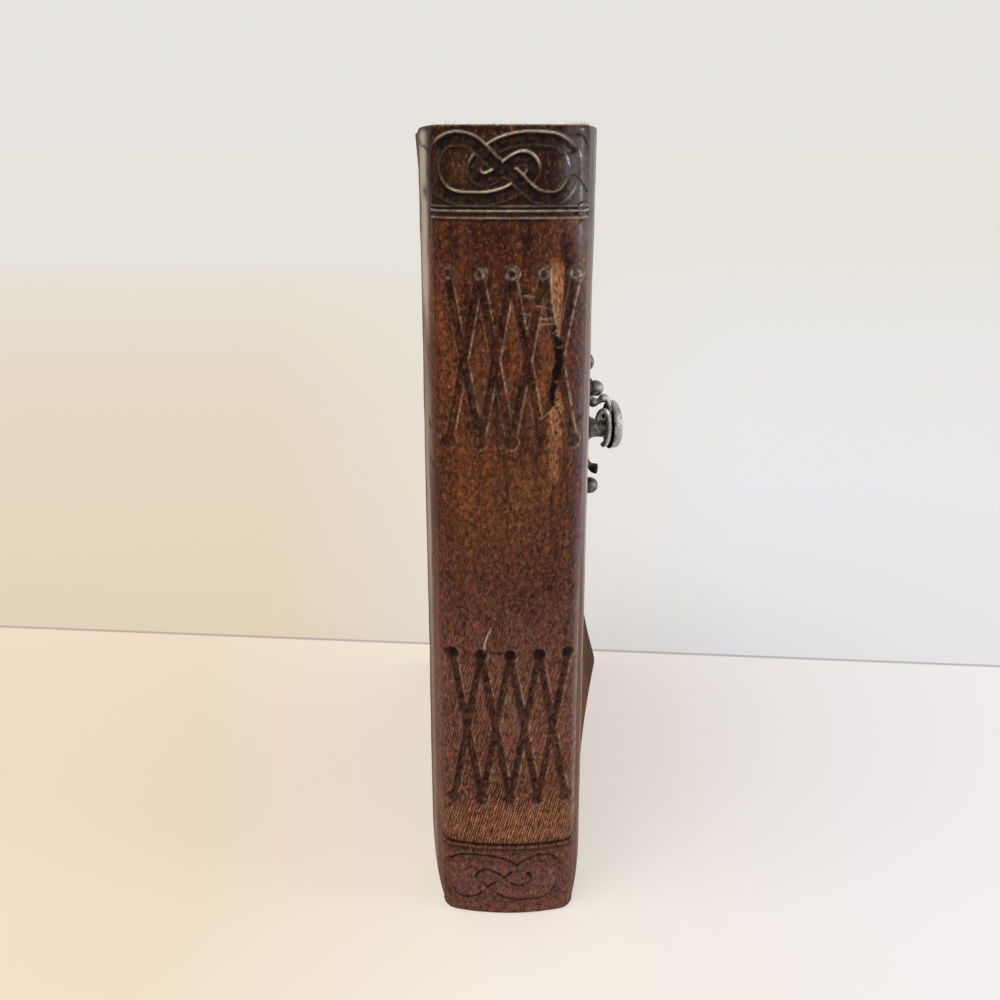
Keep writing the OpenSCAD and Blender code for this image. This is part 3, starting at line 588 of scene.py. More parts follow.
class Tree:
    """Places nodes in a tree and links their sockets."""

    def __init__(self, tree):
        self.tree = tree
        self.count = 0

    def node(self, kind, **settings):
        """A new node with its settings."""
        made = self.tree.nodes.new(kind)
        made.location = (220 * (self.count // 4), -260 * (self.count % 4))
        self.count += 1
        for key, value in settings.items():
            setattr(made, key, value)
        return made

    def feed(self, socket, value):
        """Links an output to a socket, or sets the socket's own value or opaque colour."""
        if isinstance(value, bpy.types.NodeSocket):
            self.tree.links.new(value, socket)
        else:
            socket.default_value = (*value, 1) if socket.type == "RGBA" else value

    def math(self, operation, a, b=0.0, clamp=False):
        """One sum of two values."""
        made = self.node("ShaderNodeMath", operation=operation, use_clamp=clamp)
        self.feed(made.inputs[0], a)
        self.feed(made.inputs[1], b)
        return made.outputs[0]

    def times(self, product, *factors):
        """Product of one or more values."""
        for factor in factors:
            product = self.math("MULTIPLY", product, factor)
        return product

    def plus(self, total, *parts):
        """Sum of one or more values."""
        for part in parts:
            total = self.math("ADD", total, part)
        return total

    def mix(self, factor, a, b):
        """A colour between a and b."""
        made = self.node("ShaderNodeMix", data_type="RGBA")
        self.feed(made.inputs["Factor"], factor)
        self.feed(made.inputs[6], a)
        self.feed(made.inputs[7], b)
        return made.outputs[2]

    def over(self, color, paint, *masks):
        """A colour with paint over it where the product of the masks is high."""
        return self.mix(self.times(*masks), color, paint)

    def ramp(self, value, low, high, start=0.0, end=1.0):
        """A value stretched from low..high to start..end, held at both ends."""
        made = self.node("ShaderNodeMapRange")
        self.feed(made.inputs["Value"], value)
        for socket, number in zip(("From Min", "From Max", "To Min", "To Max"), (low, high, start, end)):
            self.feed(made.inputs[socket], number)
        return made.outputs["Result"]

    def mapped(self, vector, scale=(1, 1, 1), turn=(0, 0, 0)):
        """A vector turned, then stretched."""
        turned = self.node("ShaderNodeMapping", vector_type="POINT")
        self.feed(turned.inputs["Vector"], vector)
        turned.inputs["Rotation"].default_value = turn
        stretched = self.node("ShaderNodeMapping", vector_type="POINT")
        self.feed(stretched.inputs["Vector"], turned.outputs[0])
        stretched.inputs["Scale"].default_value = scale
        return stretched.outputs[0]

    def noise(self, vector, scale, detail=4.0, rough=0.55, distort=0.0):
        """Noise value of a vector."""
        made = self.node("ShaderNodeTexNoise")
        self.feed(made.inputs["Vector"], vector)
        self.feed(made.inputs["Scale"], scale)
        made.inputs["Detail"].default_value = detail
        made.inputs["Roughness"].default_value = rough
        made.inputs["Distortion"].default_value = distort
        return made.outputs[0]

    def cells(self, vector, scale, feature="F1"):
        """Distance to the cells of a scattered pattern."""
        made = self.node("ShaderNodeTexVoronoi", feature=feature)
        self.feed(made.inputs["Vector"], vector)
        self.feed(made.inputs["Scale"], scale)
        return made.outputs["Distance"]

    def place(self, name, **values):
        """A shared group, with values on its inputs."""
        made = self.node("ShaderNodeGroup")
        made.node_tree = bpy.data.node_groups[name]
        for key, value in values.items():
            self.feed(made.inputs[key.replace("_", " ")], value)
        return made.outputs

    def masks(self, name):
        """Four values of a colour attribute."""
        made = self.node("ShaderNodeAttribute", attribute_name=name)
        split = self.node("ShaderNodeSeparateColor")
        self.feed(split.inputs[0], made.outputs["Color"])
        return split.outputs[0], split.outputs[1], split.outputs[2], made.outputs["Alpha"]

    def bump(self, height, distance, strength=1.0, normal=None):
        """A bump normal, with the height in metres."""
        made = self.node("ShaderNodeBump")
        self.feed(made.inputs["Height"], height)
        made.inputs["Distance"].default_value = distance
        self.feed(made.inputs["Strength"], strength)
        if normal is not None:
            self.feed(made.inputs["Normal"], normal)
        return made.outputs[0]


def new_group(name, inputs, outputs):
    """An empty shader group with float or vector inputs and float outputs."""
    group = bpy.data.node_groups.new(name, "ShaderNodeTree")
    for label, kind, default in inputs:
        socket = group.interface.new_socket(label, in_out="INPUT", socket_type="NodeSocket" + kind)
        if default is not None:
            socket.default_value = default
    for label in outputs:
        group.interface.new_socket(label, in_out="OUTPUT", socket_type="NodeSocketFloat")
    tree = Tree(group)
    return tree, tree.node("NodeGroupInput").outputs, tree.node("NodeGroupOutput").inputs


def make_groups():
    """Effects that several materials share."""
    if "Leather grain" in bpy.data.node_groups:
        return
    # Pebbled grain: rounded cells with fine pores between them.
    tree, given, out = new_group("Leather grain", [("Vector", "Vector", None), ("Scale", "Float", 1.0)],
                                 ["Height", "Pores"])
    coarse = tree.times(given["Scale"], 1150.0)
    fine = tree.times(given["Scale"], 3600.0)
    cells = tree.cells(given["Vector"], coarse)
    specks = tree.noise(given["Vector"], fine, 3.0, 0.6)
    tree.feed(out["Height"], tree.plus(tree.times(tree.ramp(cells, 0.1, 0.75, 1.0, 0.0), 0.6),
                                       tree.times(specks, 0.5)))
    tree.feed(out["Pores"], tree.times(tree.ramp(cells, 0.38, 0.62), tree.ramp(specks, 0.5, 0.62)))
    # Slanted wrinkles: even waves that wander and break off, and a finer slanted grain.
    tree, given, out = new_group("Wrinkles", [("Vector", "Vector", None), ("Scale", "Float", 1.0)],
                                 ["Height", "Fine"])
    drawn = tree.mapped(given["Vector"], (1.0, 1.0, 0.3), (0.0, math.radians(-16), 0.0))
    wave = tree.node("ShaderNodeTexWave", wave_type="BANDS", bands_direction="X")
    tree.feed(wave.inputs["Vector"], drawn)
    tree.feed(wave.inputs["Scale"], tree.times(given["Scale"], 560.0))
    for socket, number in (("Distortion", 7.0), ("Detail", 2.0), ("Detail Scale", 1.6),
                           ("Detail Roughness", 0.6)):
        wave.inputs[socket].default_value = number
    broken = tree.noise(drawn, tree.times(given["Scale"], 1500.0), 2.0, 0.6)
    tree.feed(out["Height"], tree.times(wave.outputs["Fac"], tree.ramp(broken, 0.3, 0.55, 0.35, 1.0)))
    drawn = tree.mapped(given["Vector"], (1.0, 1.0, 0.35), (0.0, math.radians(-33), 0.0))
    fine = tree.noise(drawn, tree.times(given["Scale"], 3200.0), 3.0, 0.6, 0.3)
    tree.feed(out["Fine"], tree.ramp(fine, 0.38, 0.62))
    # Blotches of several sizes.
    tree, given, out = new_group("Mottle", [("Vector", "Vector", None), ("Scale", "Float", 1.0)],
                                 ["Blotch", "Speckle"])
    drawn = tree.mapped(given["Vector"], (1.0, 1.0, 0.35))
    blotch = tree.noise(drawn, tree.times(given["Scale"], 330.0), 8.0, 0.68, 0.4)
    drawn = tree.mapped(given["Vector"], (1.0, 1.0, 0.65))
    speckle = tree.noise(drawn, tree.times(given["Scale"], 1150.0), 6.0, 0.8, 0.5)
    tree.feed(out["Blotch"], tree.ramp(blotch, 0.36, 0.64))
    tree.feed(out["Speckle"], tree.ramp(speckle, 0.38, 0.62))


def base_material(name, look):
    """A material with one Principled shader, whose constants are set from look."""
    material = bpy.data.materials.new(name)
    material.use_nodes = True
    shader = material.node_tree.nodes["Principled BSDF"]
    for label, value in look.items():
        shader.inputs[label].default_value = value
    return Tree(material.node_tree), shader, material


def leather_material(name, finish):
    """Dyed leather: mottled brown, rubbed, stained, embossed and cut, with painted highlights, painted
    shade and a painted grazing sheen, where the piece's attributes say.
    """
    make_groups()
    tree, shader, material = base_material(name, {"Specular IOR Level": 0.05, "Coat Roughness": 0.2,
                                                  "Coat IOR": 1.9})
    where = tree.node("ShaderNodeAttribute", attribute_name="flat").outputs["Vector"]
    recess, light, dark, cut = tree.masks("carve")
    rub, stain, gloss, wrinkle = tree.masks("wear")
    fray, purple, olive, painted_sheen_mask = tree.masks("tear")
    mottle = tree.place("Mottle", Vector=where, Scale=1.0)
    blotch, speckle = mottle["Blotch"], mottle["Speckle"]
    grain = tree.place("Leather grain", Vector=where, Scale=1.0)
    wrinkles = tree.place("Wrinkles", Vector=where, Scale=1.0)
    folds, fine = wrinkles["Height"], wrinkles["Fine"]
    color = tree.mix(blotch, finish.spine_dark, finish.spine_light)
    color = tree.over(color, finish.rub_color, rub, tree.ramp(speckle, 0.05, 0.75, 1.0, 0.35))
    color = tree.over(color, finish.purple_color, purple, tree.ramp(blotch, 0.0, 1.0, 0.5, 0.85))
    color = tree.over(color, finish.olive_color, olive, tree.ramp(blotch, 0.0, 1.0, 0.55, 0.9))
    color = tree.over(color, finish.rub_color, fine, tree.ramp(speckle, 0.2, 0.7, 1.0, 0.0), 0.36)
    # Wrinkle crests lighter and valleys darker: partly rubbed wear, partly painted highlight and painted
    # shade.
    color = tree.over(color, finish.fold_wear_and_glint_color, wrinkle, tree.ramp(folds, 0.3, 0.9, 0.0, 0.68))
    color = tree.over(color, finish.speck_and_shade_color, wrinkle, tree.ramp(folds, 0.0, 0.3, 0.45, 0.0))
    color = tree.over(color, finish.stain_color, stain, tree.ramp(speckle, 0.1, 0.8, 0.6, 1.0))
    color = tree.over(color, finish.groove_color, recess, tree.ramp(blotch, 0.0, 1.0, 0.9, 0.55))
    color = tree.over(color, finish.speck_and_shade_color, tree.ramp(speckle, 0.5, 0.95),
                      tree.ramp(rub, 0.0, 1.0, 0.75, 0.5))
    color = tree.over(color, finish.speck_and_shade_color, grain["Pores"], 0.35)
    # Painted glints: light specks standing in for highlights on the grain.
    color = tree.over(color, finish.fold_wear_and_glint_color, tree.ramp(speckle, 0.0, 0.3, 0.18, 0.0),
                      tree.ramp(stain, 0.0, 1.0, 1.0, 0.6))
    broken = tree.ramp(tree.noise(where, 1300.0, 3.0, 0.6), 0.34, 0.5, 0.55, 1.0)
    # Painted highlights on the lips of the embossing, with real light scratches and worn grains.
    color = tree.over(color, finish.lip_highlight_and_scratch_color, light, broken)
    fibre_vector = tree.mapped(where, (1.0, 1.0, 0.35), (0.0, math.radians(4), 0.0))
    fibre = tree.ramp(tree.noise(fibre_vector, 2200.0, 3.0, 0.6, 0.6), 0.36, 0.6)
    torn = tree.times(fray, tree.ramp(fibre, 0.0, 1.0, 0.75, 1.0))
    torn_color = tree.mix(fibre, finish.rub_color, finish.torn_color)
    color = tree.mix(torn, color, torn_color)
    # Cracks and needle holes, and painted shade and shadow beside the embossing.
    color = tree.over(color, finish.crack_and_shadow_color, dark, 0.96)
    flesh = tree.mix(tree.ramp(tree.noise(where, 1400.0, 4.0, 0.6), 0.4, 0.62), finish.cut_color,
                     finish.cut_dark_color)
    color = tree.mix(cut, color, flesh)
    # Painted sheen: a pale colour standing in for grazing reflection, shown where the surface is seen at
    # a grazing angle.
    grazing = tree.node("ShaderNodeLayerWeight").outputs["Facing"]
    color = tree.over(color, finish.painted_sheen_color, painted_sheen_mask, tree.ramp(grazing, 0.35, 0.8))
    tree.feed(shader.inputs["Base Color"], color)
    rough = tree.plus(0.5, tree.times(speckle, 0.15))
    rough = tree.math("ADD", rough, tree.times(tree.math("MAXIMUM", cut, torn), 0.3), True)
    tree.feed(shader.inputs["Roughness"], rough)
    shine = tree.times(gloss, tree.ramp(dark, 0.0, 1.0, 1.0, 0.35), tree.ramp(fine, 0.0, 1.0, 0.7, 1.0))
    tree.feed(shader.inputs["Coat Weight"], shine)
    height = tree.plus(tree.times(grain["Height"], 0.5), tree.times(fine, 0.45),
                       tree.times(folds, wrinkle, 1.2), tree.times(fibre, fray, 1.6))
    tree.feed(shader.inputs["Normal"], tree.bump(height, 0.0002))
    return material


def metal_material(name, finish, worn):
    """Cast metal with a dark patina and painted shade in its hollows, and brighter rubbed heights that
    also carry painted highlights.
    """
    make_groups()
    tree, shader, material = base_material(name, {"Metallic": 1.0})
    where = tree.node("ShaderNodeTexCoord").outputs["Object"]
    hollow, rubbed = tree.masks("patina")[:2]
    mottle = tree.place("Mottle", Vector=where, Scale=1.6)
    relief = tree.noise(where, 520.0, 4.0, 0.55)
    bright = tree.times(tree.ramp(relief, 0.36, 0.56), tree.ramp(mottle["Speckle"], 0.3, 1.0, 1.0, 0.5),
                        worn)
    color = tree.mix(bright, finish.patina_color, finish.metal_color)
    color = tree.over(color, finish.tarnish_color, mottle["Blotch"], 0.3)
    # Rubbed bright metal, and painted highlights on the claw and the stud's rim.
    color = tree.over(color, finish.rubbed_and_highlight_color, rubbed)
    # Black patina and painted shade in the hollows.
    color = tree.over(color, finish.hollow_patina_and_shade_color, hollow, 0.96)
    tree.feed(shader.inputs["Base Color"], color)
    rough = tree.math("MAXIMUM", tree.ramp(relief, 0.35, 0.65, 0.38, 0.2), tree.times(hollow, 0.6))
    tree.feed(shader.inputs["Roughness"], rough)
    tree.feed(shader.inputs["Normal"], tree.bump(tree.math("ADD", relief, mottle["Speckle"]), 0.00005))
    return material


def paper_material(name, finish):
    """Stacked sheets: thin dark gaps where the piece's attribute says, soft fibres and yellowed parts."""
    make_groups()
    tree, shader, material = base_material(name, {"Roughness": 0.9, "Specular IOR Level": 0.2})
    where = tree.node("ShaderNodeTexCoord").outputs["Object"]
    stack = tree.masks("sheets")
    mottle = tree.place("Mottle", Vector=where, Scale=0.5)
    color = tree.mix(tree.times(mottle["Blotch"], 0.6), finish.paper_color, finish.yellow_color)
    color = tree.over(color, finish.gap_color, stack[0], 0.6)
    # Painted shade in the valleys between gatherings.
    color = tree.over(color, finish.gap_color, stack[1], 0.8)
    tree.feed(shader.inputs["Base Color"], color)
    fibre = tree.noise(where, 2500.0, 3.0, 0.6)
    height = tree.math("SUBTRACT", tree.times(fibre, 0.6), stack[0])
    tree.feed(shader.inputs["Normal"], tree.bump(height, 0.00012))
    return material


# Settings

def color_prop(name, description, value):
    """A colour with its description."""
    return bpy.props.FloatVectorProperty(name=name, description=description, default=value,
                                         subtype="COLOR", size=3, min=0.0, max=1.0)


def number_prop(name, description, value, **limits):
    """A number with its description."""
    return bpy.props.FloatProperty(name=name, description=description, default=value, **limits)


def length_prop(name, description, millimetres):
    """A length with its description."""
    return number_prop(name, description, millimetres * MM, unit="LENGTH", precision=5)


class JournalWrapSettings(bpy.types.PropertyGroup):
    """Sizes of the leather wrap that the looks add to the solids."""
    fine_step: length_prop("Fine step", "Distance between two rows of points where the spine is embossed",
                           0.27)
    coarse_step: length_prop("Coarse step", "Distance between two rows of points on plain leather", 0.85)
    lip_height: length_prop("Lip height", "How far the pressed-up lip beside a groove stands out", 0.1)
    wave_height: length_prop("Wave height", "How much the hide waves in and out over its face", 0.12)
    bend_depth: length_prop("Bend depth", "Depth over which the hide bends when a cover opens", 5.0)


class JournalLeatherSettings(bpy.types.PropertyGroup):
    """Colours of the leather."""
    spine_dark: color_prop("Spine dark", "Darker dye of the spine", (0.027, 0.0070, 0.0042))
    spine_light: color_prop("Spine light", "Lighter dye of the spine", (0.102, 0.0290, 0.0145))
    purple_color: color_prop("Purple", "Purple brown of the shoulder and the lower face",
                             (0.165, 0.076, 0.070))
    olive_color: color_prop("Olive", "Olive brown patches", (0.095, 0.054, 0.024))
    # Painted sheen standing in for grazing reflection on the covers and the spine's right shoulder.
    painted_sheen_color: color_prop("Sheen", "Pale worn wax on the outside of the back cover", (0.50, 0.43, 0.37))
    rub_color: color_prop("Rubbed", "Orange brown where the dye is rubbed thin", (0.235, 0.078, 0.028))
    # Wrinkle crests, partly rubbed wear and partly painted highlight, and painted glints on the grain.
    fold_wear_and_glint_color: color_prop("Folds", "Raised folds of wrinkled leather", (0.56, 0.275, 0.165))
    stain_color: color_prop("Stain", "Dark stain in the dye", (0.0125, 0.0058, 0.0052))
    # Pores and specks, and painted shade in the valleys of the wrinkles.
    speck_and_shade_color: color_prop("Deep", "Pores and specks", (0.016, 0.0065, 0.0050))
    groove_color: color_prop("Grooves", "Grey-brown floor of the embossing", (0.040, 0.0205, 0.0150))
    # Painted highlight on the lips beside the grooves, and light scratches.
    lip_highlight_and_scratch_color: color_prop("Lips", "Light lips beside the grooves", (0.86, 0.74, 0.58))
    torn_color: color_prop("Torn", "Fibres where the surface is torn", (0.50, 0.235, 0.120))
    # Cracks and needle holes, and painted shade and shadow beside the embossing.
    crack_and_shadow_color: color_prop("Cracks", "Cracks and needle holes", (0.006, 0.004, 0.0035))
    cut_color: color_prop("Cut edge", "Raw cut edge", (0.34, 0.20, 0.09))
    cut_dark_color: color_prop("Cut edge dark", "Darker parts of the raw cut edge", (0.13, 0.062, 0.034))


class JournalPageSettings(bpy.types.PropertyGroup):
    """Sheets and colours of the page block."""
    gatherings: bpy.props.IntProperty(name="Gatherings", description="Number of gatherings", default=9,
                                      min=1)
    sheets: bpy.props.IntProperty(name="Sheets", description="Leaves in one gathering", default=14, min=2)
    deckle: length_prop("Deckle", "How unevenly the sheets end", 0.35)
    paper_color: color_prop("Paper", "Colour of the paper", (0.76, 0.66, 0.49))
    yellow_color: color_prop("Yellowed", "Yellowed parts of the paper", (0.66, 0.52, 0.33))
    gap_color: color_prop("Gaps", "Shade between the sheets", (0.22, 0.15, 0.09))


class JournalMetalSettings(bpy.types.PropertyGroup):
    """Colours of the clasp."""
    metal_color: color_prop("Metal", "Rubbed metal", (0.50, 0.49, 0.44))
    # Rubbed bright metal, and painted highlights on the claw and the stud's rim.
    rubbed_and_highlight_color: color_prop("Bright metal", "Rims rubbed bright", (0.80, 0.79, 0.76))
    patina_color: color_prop("Patina", "Dark patina", (0.05, 0.048, 0.042))
    tarnish_color: color_prop("Tarnish", "Greenish tarnish", (0.16, 0.17, 0.14))
    # Black patina and painted shade in the hollows.
    hollow_patina_and_shade_color: color_prop("Hollows", "Black patina in the hollows", (0.006, 0.006, 0.0055))


class JournalStageSettings(bpy.types.PropertyGroup):
    """Floor, light and camera."""
    floor_left: color_prop("Floor left", "Warm side of the floor", (0.92, 0.79, 0.62))
    floor_middle: color_prop("Floor middle", "Floor in front of the journal", (0.97, 0.90, 0.83))
    floor_right: color_prop("Floor right", "Cool side of the floor", (0.93, 0.91, 0.93))
    wall_left: color_prop("Wall left", "Warm side of the background", (0.80, 0.69, 0.53))
    wall_right: color_prop("Wall right", "Cool side of the background", (0.84, 0.85, 0.89))
    far_color: color_prop("Far", "Colour far behind", (0.805, 0.785, 0.745))
    sky_color: color_prop("Above", "Colour above the far floor", (0.793, 0.773, 0.735))
    line_color: color_prop("Table edge", "Thin dark line along the edge of the table", (0.30, 0.27, 0.25))
    table_edge: length_prop("Table edge", "Distance of the table's edge behind the journal", 143.7)
    edge_slant: number_prop("Edge slant", "How far the table's edge turns away", -0.0905)
    own_share: number_prop("Own share", "How much of the floor's colour the camera sees without shadow",
                           0.5, min=0.0, max=1.0)
    world_strength: number_prop("World strength", "Strength of the even light", 0.80, min=0.0)
    key_strength: number_prop("Key strength", "Strength of the warm light on the left", 1.25, min=0.0)
    window_strength: number_prop("Window strength", "Strength of the cool light low on the right", 1.25,
                                 min=0.0)
    lens: number_prop("Lens", "Focal length on a 36 mm sensor", 38.84, min=1.0)
    camera_tilt: number_prop("Camera tilt", "How far the camera looks down", math.radians(18.14),
                             subtype="ANGLE")


# Pieces

def layer(*masks):
    """Four masks side by side, as one colour attribute."""
    shape = np.broadcast_shapes(*(np.shape(m) for m in masks))
    masks = [np.broadcast_to(m, shape) for m in masks]
    return np.stack(masks + [np.zeros(shape)] * (4 - len(masks)), axis=-1)


# Distance that sets the inner face of the hide apart from its outer face in the pattern, in millimetres.
INSIDE_AWAY = 20.0


def flat_layer(across, z, away=0.0):
    """Place on the hide laid out flat, in metres: across, distance between its faces, height."""
    shape = np.broadcast_shapes(np.shape(across), np.shape(z))
    return layer(*(np.broadcast_to(value * MM, shape) for value in (across, away, z)))


class JOURNAL_OT_spine(bpy.types.Operator):
    """Make the embossed leather of the spine"""
    bl_idname = "journal.make_spine"
    bl_label = "Spine leather"

    def execute(self, context):
        wrap = context.scene.journal_wrap
        fine, coarse = wrap.fine_step / MM, wrap.coarse_step / MM
        z = height_rows(coarse, fine, EMBOSSED_SPANS)
        q = np.linspace(-HALF_ARC, HALF_ARC, int(2 * HALF_ARC / fine) + 1)[:, None]
        flat_x = pattern_x(q)
        masks = spine_fields(flat_x, z)
        rub, stain, gloss, wrinkle, purple, olive = spine_wear(flat_x, z)
        x, y, nx, ny = spine_at(q)
        away = np.minimum(z, COVER_H - z)
        thick = edge_rounding(away)
        wave = wrap.wave_height / MM * (
            lattice_noise(q, z, 9.0, 31) + 0.4 * lattice_noise(q, z, 3.5, 32)) - 0.1
        wave = wave * smoothstep(HALF_ARC - np.abs(q), 0.0, 3.0)
        push = wave - masks["depth"] + wrap.lip_height / MM * masks["lip"] * (1 - masks["scuff"])
        ragged = 0.14 * lattice_noise(q, z, 0.9, 33) * (1 - smoothstep(away, 0.0, 0.9))
        out = (push + ragged) * smoothstep(away, 0.0, 0.7) - LEATHER_T / 2 * (1 - thick)
        out = np.minimum(out, 0.0)
        fold_seat = 1 - smoothstep(HALF_ARC - np.abs(q), 0.0, 0.4)
        out = out * (1 - fold_seat) + fold_seat * (-LEATHER_T / 2 * (1 - thick))
        outer = as_points(x + nx * out, y + ny * out, z)
        back_q = np.linspace(HALF_ARC, -HALF_ARC, 25)[:, None]
        bx, by, bnx, bny = spine_at(back_q)
        inn = -LEATHER_T / 2 * (1 + thick)
        inner = as_points(bx + bnx * inn, by + bny * inn, z)
        raw = 1 - smoothstep(away + 0.12 * lattice_noise(q, z, 0.8, 34), 0.04, 0.34)
        raw = raw * np.where(z > COVER_H / 2, 1.0, 0.3)
        # The light channel holds painted highlights and the dark channel painted shade and shadow,
        # besides scratches, cracks and holes.
        carve = layer(masks["recess"], masks["light"], masks["dark"] * (1 - raw), raw)
        wear = layer(rub, stain, gloss, wrinkle)
        # Painted sheen along the right shoulder, strongest low down.
        low_side = smoothstep(z, 12.0, 30.0) * (1 - smoothstep(z, 75.0, 105.0))
        painted_shoulder_sheen = 0.42 * smoothstep(flat_x, 12.8, 15.6) * (0.1 + 0.9 * low_side)
        tear = layer(masks["scuff"], purple, olive,
                     painted_shoulder_sheen * (0.8 + 0.4 * lattice_noise(flat_x, z, 1.5, 35)))
        plain = np.zeros(inner.shape[:2])
        flesh, clean = layer(plain, plain, plain, plain + 0.7), layer(plain)
        piece = grid_mesh("spine_wrap", [np.concatenate([outer, inner])], hide_attributes(
            np.concatenate([flat_layer(q, z), flat_layer(back_q, z, INSIDE_AWAY)]),
            np.concatenate([carve, flesh]), np.concatenate([wear, clean]), np.concatenate([tear, clean])))
        material = leather_material("Spine leather", context.scene.journal_leather)
        finish_piece(piece, material, "spine_leather", "book", "spine_leather")
        self.fibres(material)
        return {"FINISHED"}

    def fibres(self, material):
        """Loose fibres on the cut top edge: thin bent cones with three sides, thickest at their feet."""
        random = np.random.default_rng(91)
        count = 170
        at = HALF_ARC * (2 * random.random(count) - 1)
        at = np.where(random.random(count) < 0.45, HALF_ARC - 7.0 + 6.0 * random.random(count), at)
        x, y, nx, ny = spine_at(at)
        sink = LEATHER_T * random.random(count) ** 1.6 * 0.8 + 0.15
        foot = np.stack([x - nx * sink, y - ny * sink, np.full(count, COVER_H - 0.25)], axis=1)
        long = 0.3 + 0.75 * random.random(count) ** 2.5
        lean = (random.random((count, 3)) - 0.5) * np.array([1.6, 1.0, 0.0]) + np.array([0.0, -0.15, 1.0])
        droop = (random.random((count, 3)) - 0.5) * np.array([1.5, 1.5, 1.0])
        t = np.array([0.0, 0.35, 0.7, 1.0])[None, :, None]
        path = foot[:, None] + long[:, None, None] * (lean[:, None] * t + droop[:, None] * t ** 2 * 0.6)
        angle = np.arange(3) * 2 * math.pi / 3
        circle = np.stack([np.cos(angle), np.sin(angle), 0 * angle], axis=1)
        width = 0.038 * np.array([1.0, 0.8, 0.5, 0.06])
        tube = path[:, None] + circle[None, :, None] * width[None, None, :, None]
        mask = layer(np.zeros(tube.shape[1:3]), 0, 0, 1.0)
        place = [flat_layer(*np.broadcast_arrays(foot[k, 0], foot[k, 2], np.zeros(tube.shape[1:3]))[:2])
                 for k in range(count)]
        none = [np.zeros(tube.shape[1:3] + (4,))] * count
        piece = grid_mesh("edge_fibres", list(tube), [
            ("flat", place), ("carve", [mask] * count), ("wear", none), ("tear", none)], sharp=180)
        finish_piece(piece, material, "spine_leather", "book")


def cover_side(s, form):
    """Outer face of a cover at depth s: half width + swell (1 - exp(-s / run)) + taper s."""
    return HALF_W + form["swell"] * (1 - np.exp(-s / SWELL_RUN)) + form["taper"] * s


def cover_curl(s, h, form):
    """How far a curled corner stands out: amount (depth share)^1.4 (height share)^2.2."""
    depth = np.maximum(0.0, s - (COVER_LEN - CURL_DEPTH)) / CURL_DEPTH
    return form["curl"] * depth ** 1.4 * np.maximum(0.0, 1 - h / form["reach"]) ** 2.2


def corner_cut(z):
    """How much a round corner takes from a cover's depth at height z: r - sqrt(r^2 - e^2)."""
    e = CORNER_R - np.minimum(np.minimum(z, COVER_H - z), CORNER_R)
    return CORNER_R - np.sqrt(np.maximum(CORNER_R ** 2 - e ** 2, 0.0))


